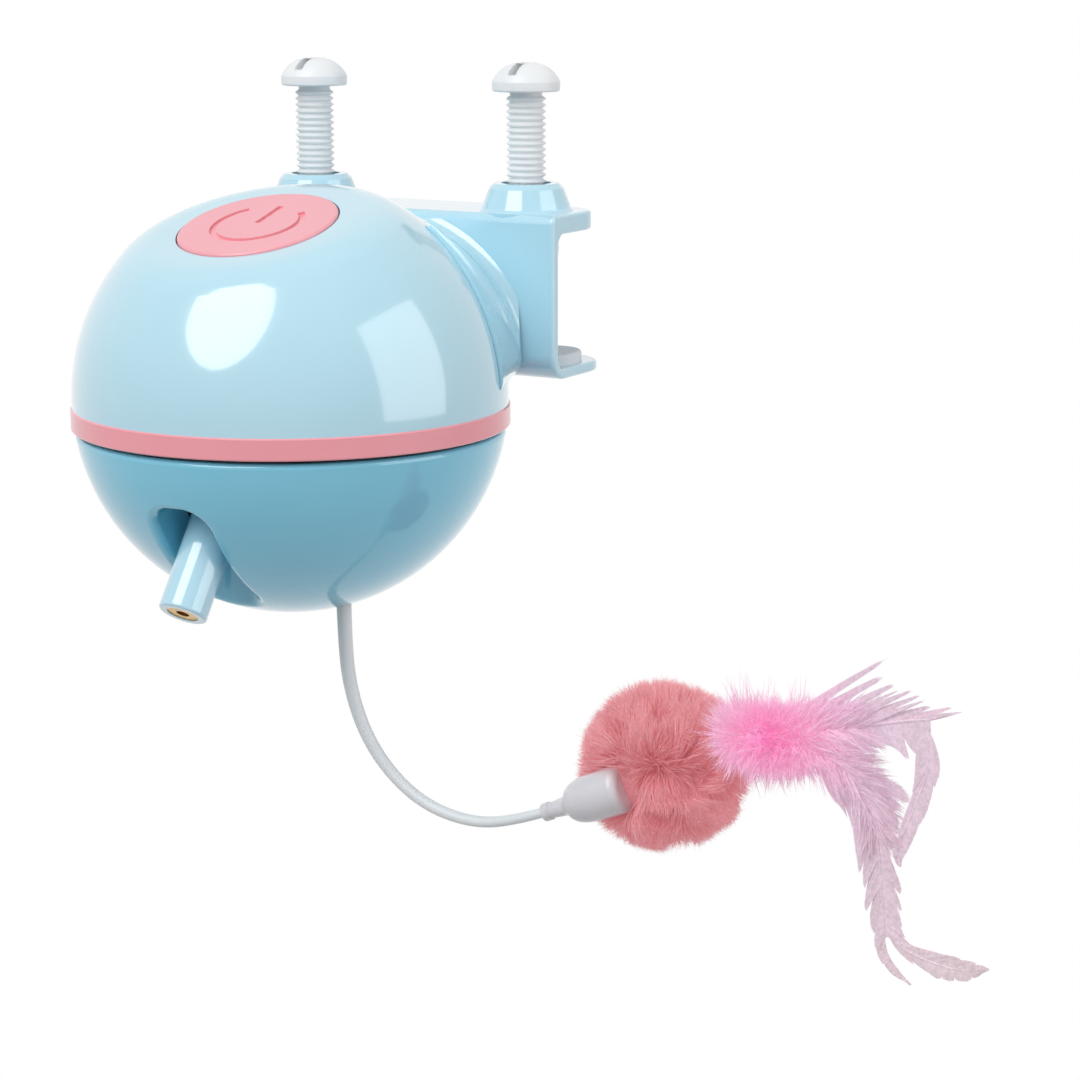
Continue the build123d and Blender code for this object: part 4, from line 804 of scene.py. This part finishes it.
def add_feathers():
    rng = np.random.default_rng(FEATHER_SEED)
    upper = Ribbons()
    quill(upper, UPPER_SHAFT, root_r=0.5, tip_r=0.18)
    down(upper, UPPER_SHAFT[:4], rng, count=1500)
    vane(
        upper, UPPER_SHAFT, UPPER_TOP, rng, barbs=760, width=0.6, group=(30, 120),
        pull=0.62, sweep=1.1, loose=0.5,
    )
    vane(
        upper, UPPER_SHAFT, UPPER_UNDER, rng, barbs=620, width=0.6, group=(60, 150),
        pull=0.40, sweep=1.6, loose=0.5,
    )
    upper.piece("upper_plume", materials["feather_pink"], "feather_pink", "upper_feather")

    curl = Ribbons()
    quill(curl, CURL_SHAFT, root_r=0.3, tip_r=0.12)
    vane(
        curl, CURL_SHAFT, CURL_OUTER, rng, barbs=420, width=0.6, group=(90, 180),
        pull=0.10, sweep=0.7, loose=0.15,
    )
    vane(
        curl, CURL_SHAFT, CURL_INNER, rng, barbs=420, width=0.6, group=(60, 140),
        pull=0.15, sweep=0.7, loose=0.15,
    )
    curl.piece("curl_plume", materials["feather_pink"], "feather_pink", "upper_feather")

    long = Ribbons()
    quill(long, LONG_SHAFT, root_r=0.45, tip_r=0.2)
    down(long, LONG_SHAFT[:6], rng, count=2200)
    for tips in (LONG_RIGHT, LONG_LEFT):
        vane(
            long, LONG_SHAFT, tips, rng, barbs=900, width=0.6, group=(50, 140),
            pull=0.26, sweep=2.5, loose=0.3,
        )
    quill(long, TAIL_SHAFT, root_r=0.2, tip_r=0.05)
    for tips in (TAIL_RIGHT, TAIL_LEFT):
        vane(
            long, TAIL_SHAFT, tips, rng, barbs=180, width=0.45, group=(60, 120),
            pull=0.10, sweep=0.4, loose=0.1,
        )
    long.piece("long_plume", materials["feather_lilac"], "feather_lilac", "lower_feather")

    leaf = Ribbons()
    quill(leaf, LEAF_SHAFT, root_r=0.3, tip_r=0.05)
    vane(
        leaf, LEAF_SHAFT, LEAF_TOP, rng, barbs=340, width=0.55, group=(40, 110),
        pull=0.12, sweep=0.7, loose=0.15,
    )
    vane(
        leaf, LEAF_SHAFT, LEAF_UNDER, rng, barbs=360, width=0.55, group=(30, 80),
        pull=0.15, sweep=0.7, loose=0.15,
    )
    leaf.piece("leaf_plume", materials["feather_lilac"], "feather_lilac", "lower_feather")


# Fluff: a cord and a soft core from the pompom to the feathers, with down all round
FLUFF_SEED = 11
FLUFF_FROM = np.array((92.0, LURE_Y, -57.6))
FLUFF_TO = np.array((105.5, LURE_Y, -56.8))
FLUFF_CORD_BACK = (6, 0, 0.4)
FLUFF_CORD_R = (0.7, 0.5)
FLUFF_CORD_STEPS = 10
CORE_BACK = (1, 0, 0)
CORE_RADII = (0.6, 2.6, 3.8, 4.4, 4.6, 4.3, 3.6, 2.4, 0.6)
CORE_SIDES = 20
FLUFF_BARBS = 9000
FLUFF_WISPS = 1400
FLUFF_SCATTER = 0.6
FLUFF_AIMS = (0.75, 1.0, 1.0)
FLUFF_SWEEP, FLUFF_SWEEP_FROM, FLUFF_SWEEP_GAIN = 0.35, 0.35, 3
FLUFF_LENGTH, FLUFF_UNEVEN = 8.2, 1.1
WISP_LONGER = (1.5, 4.0)
FLUFF_FLATTER = 0.30


def add_fluff():
    rng = np.random.default_rng(FLUFF_SEED)
    total = FLUFF_BARBS + FLUFF_WISPS
    place = rng.uniform(0, 1, (total, 1))
    root = FLUFF_FROM + (FLUFF_TO - FLUFF_FROM) * place
    root = root + rng.normal(0, FLUFF_SCATTER, (total, 3))
    aim = rng.normal(size=(total, 3)) * FLUFF_AIMS
    aim[:, 0] += FLUFF_SWEEP * (place[:, 0] - FLUFF_SWEEP_FROM) * FLUFF_SWEEP_GAIN
    aim = unit(aim)
    length = rng.normal(FLUFF_LENGTH, FLUFF_UNEVEN, total)
    length[FLUFF_BARBS:] += rng.uniform(*WISP_LONGER, FLUFF_WISPS)
    length *= 1 - FLUFF_FLATTER * np.abs(aim[:, 1])
    fluff = Ribbons()
    cord = np.linspace(FLUFF_FROM - FLUFF_CORD_BACK, FLUFF_TO, FLUFF_CORD_STEPS)
    fluff.tube(cord, np.linspace(*FLUFF_CORD_R, FLUFF_CORD_STEPS))
    core = np.linspace(FLUFF_FROM - CORE_BACK, FLUFF_TO, len(CORE_RADII))
    fluff.tube(core, CORE_RADII, CORE_SIDES)
    tuft(
        fluff, rng, root, aim, length, leaders=620,
        pull=0.45, bow=1.0, widths=(0.14, 0.30), facing=(0.0, 0.4, -0.3),
    )
    fluff.piece("fluff", materials["feather_pink"], "feather_pink", "feather_tuft")


add_pompom()
add_fluff()
add_feathers()


# Floor, backdrop and light. The camera sees both white, and the part sees them grey

FLOOR_REACH, FLOOR_DROP = 6.0, 0.40
FLOOR_GREY = (0.55, 0.55, 0.56, 1)
FLOOR_ROUGH = 0.8
WHITE = (1, 1, 1, 1)
AMBIENT = (0.96, 0.98, 1.0, 1)
AMBIENT_STRENGTH = 0.31


def add_floor():
    mesh = bpy.data.meshes.new("floor")
    reach, low = FLOOR_REACH, BALL.z - FLOOR_DROP
    ends = [(-reach, -reach), (reach, -reach), (reach, reach), (-reach, reach)]
    corners = [(x, y, low) for x, y in ends]
    mesh.from_pydata(corners, [], [(0, 1, 2, 3)])
    floor = bpy.data.objects.new("floor", mesh)
    bpy.context.scene.collection.objects.link(floor)
    material, nodes, links, shader = new_material("floor")
    shader.inputs["Base Color"].default_value = FLOOR_GREY
    shader.inputs["Roughness"].default_value = FLOOR_ROUGH
    white = nodes.new("ShaderNodeEmission")
    white.inputs["Color"].default_value = WHITE
    mix = nodes.new("ShaderNodeMixShader")
    links.new(seen_straight(nodes, links), mix.inputs["Fac"])
    links.new(shader.outputs["BSDF"], mix.inputs[1])
    links.new(white.outputs["Emission"], mix.inputs[2])
    links.new(mix.outputs["Shader"], nodes["Material Output"].inputs["Surface"])
    floor.data.materials.append(material)


def seen_straight(nodes, links):
    """1 for what the camera sees, straight, in a gloss or behind glass."""
    path = nodes.new("ShaderNodeLightPath")
    first = nodes.new("ShaderNodeMath")
    first.operation = "MAXIMUM"
    second = nodes.new("ShaderNodeMath")
    second.operation = "MAXIMUM"
    links.new(path.outputs["Is Camera Ray"], first.inputs[0])
    links.new(path.outputs["Is Glossy Ray"], first.inputs[1])
    links.new(first.outputs["Value"], second.inputs[0])
    links.new(path.outputs["Is Transmission Ray"], second.inputs[1])
    return second.outputs["Value"]


def add_world():
    world = bpy.data.worlds.new("world")
    bpy.context.scene.world = world
    world.use_nodes = True
    nodes, links = world.node_tree.nodes, world.node_tree.links
    ambient = nodes["Background"]
    ambient.inputs["Color"].default_value = AMBIENT
    ambient.inputs["Strength"].default_value = AMBIENT_STRENGTH
    backdrop = nodes.new("ShaderNodeBackground")
    backdrop.inputs["Color"].default_value = WHITE
    mix = nodes.new("ShaderNodeMixShader")
    links.new(seen_straight(nodes, links), mix.inputs["Fac"])
    links.new(ambient.outputs["Background"], mix.inputs[1])
    links.new(backdrop.outputs["Background"], mix.inputs[2])
    links.new(mix.outputs["Shader"], nodes["World Output"].inputs["Surface"])


def add_lamp(name, place, shape, size, size_y, power):
    """An area lamp that faces the ball, with its size in metres."""
    data = bpy.data.lights.new(name, "AREA")
    data.shape = shape
    data.size = size
    data.size_y = size_y
    data.energy = power
    lamp = bpy.data.objects.new(name, data)
    lamp.location = place
    lamp.rotation_euler = (BALL - place).to_track_quat("-Z", "Y").to_euler()
    bpy.context.scene.collection.objects.link(lamp)


add_floor()
add_world()
add_lamp("key", at(-102, -701, 707), "ELLIPSE", size=0.74, size_y=0.98, power=7.6)
add_lamp("fill", at(895, 166, 271), "RECTANGLE", size=0.7, size_y=0.85, power=3.4)
bpy.context.scene.view_settings.view_transform = "Standard"
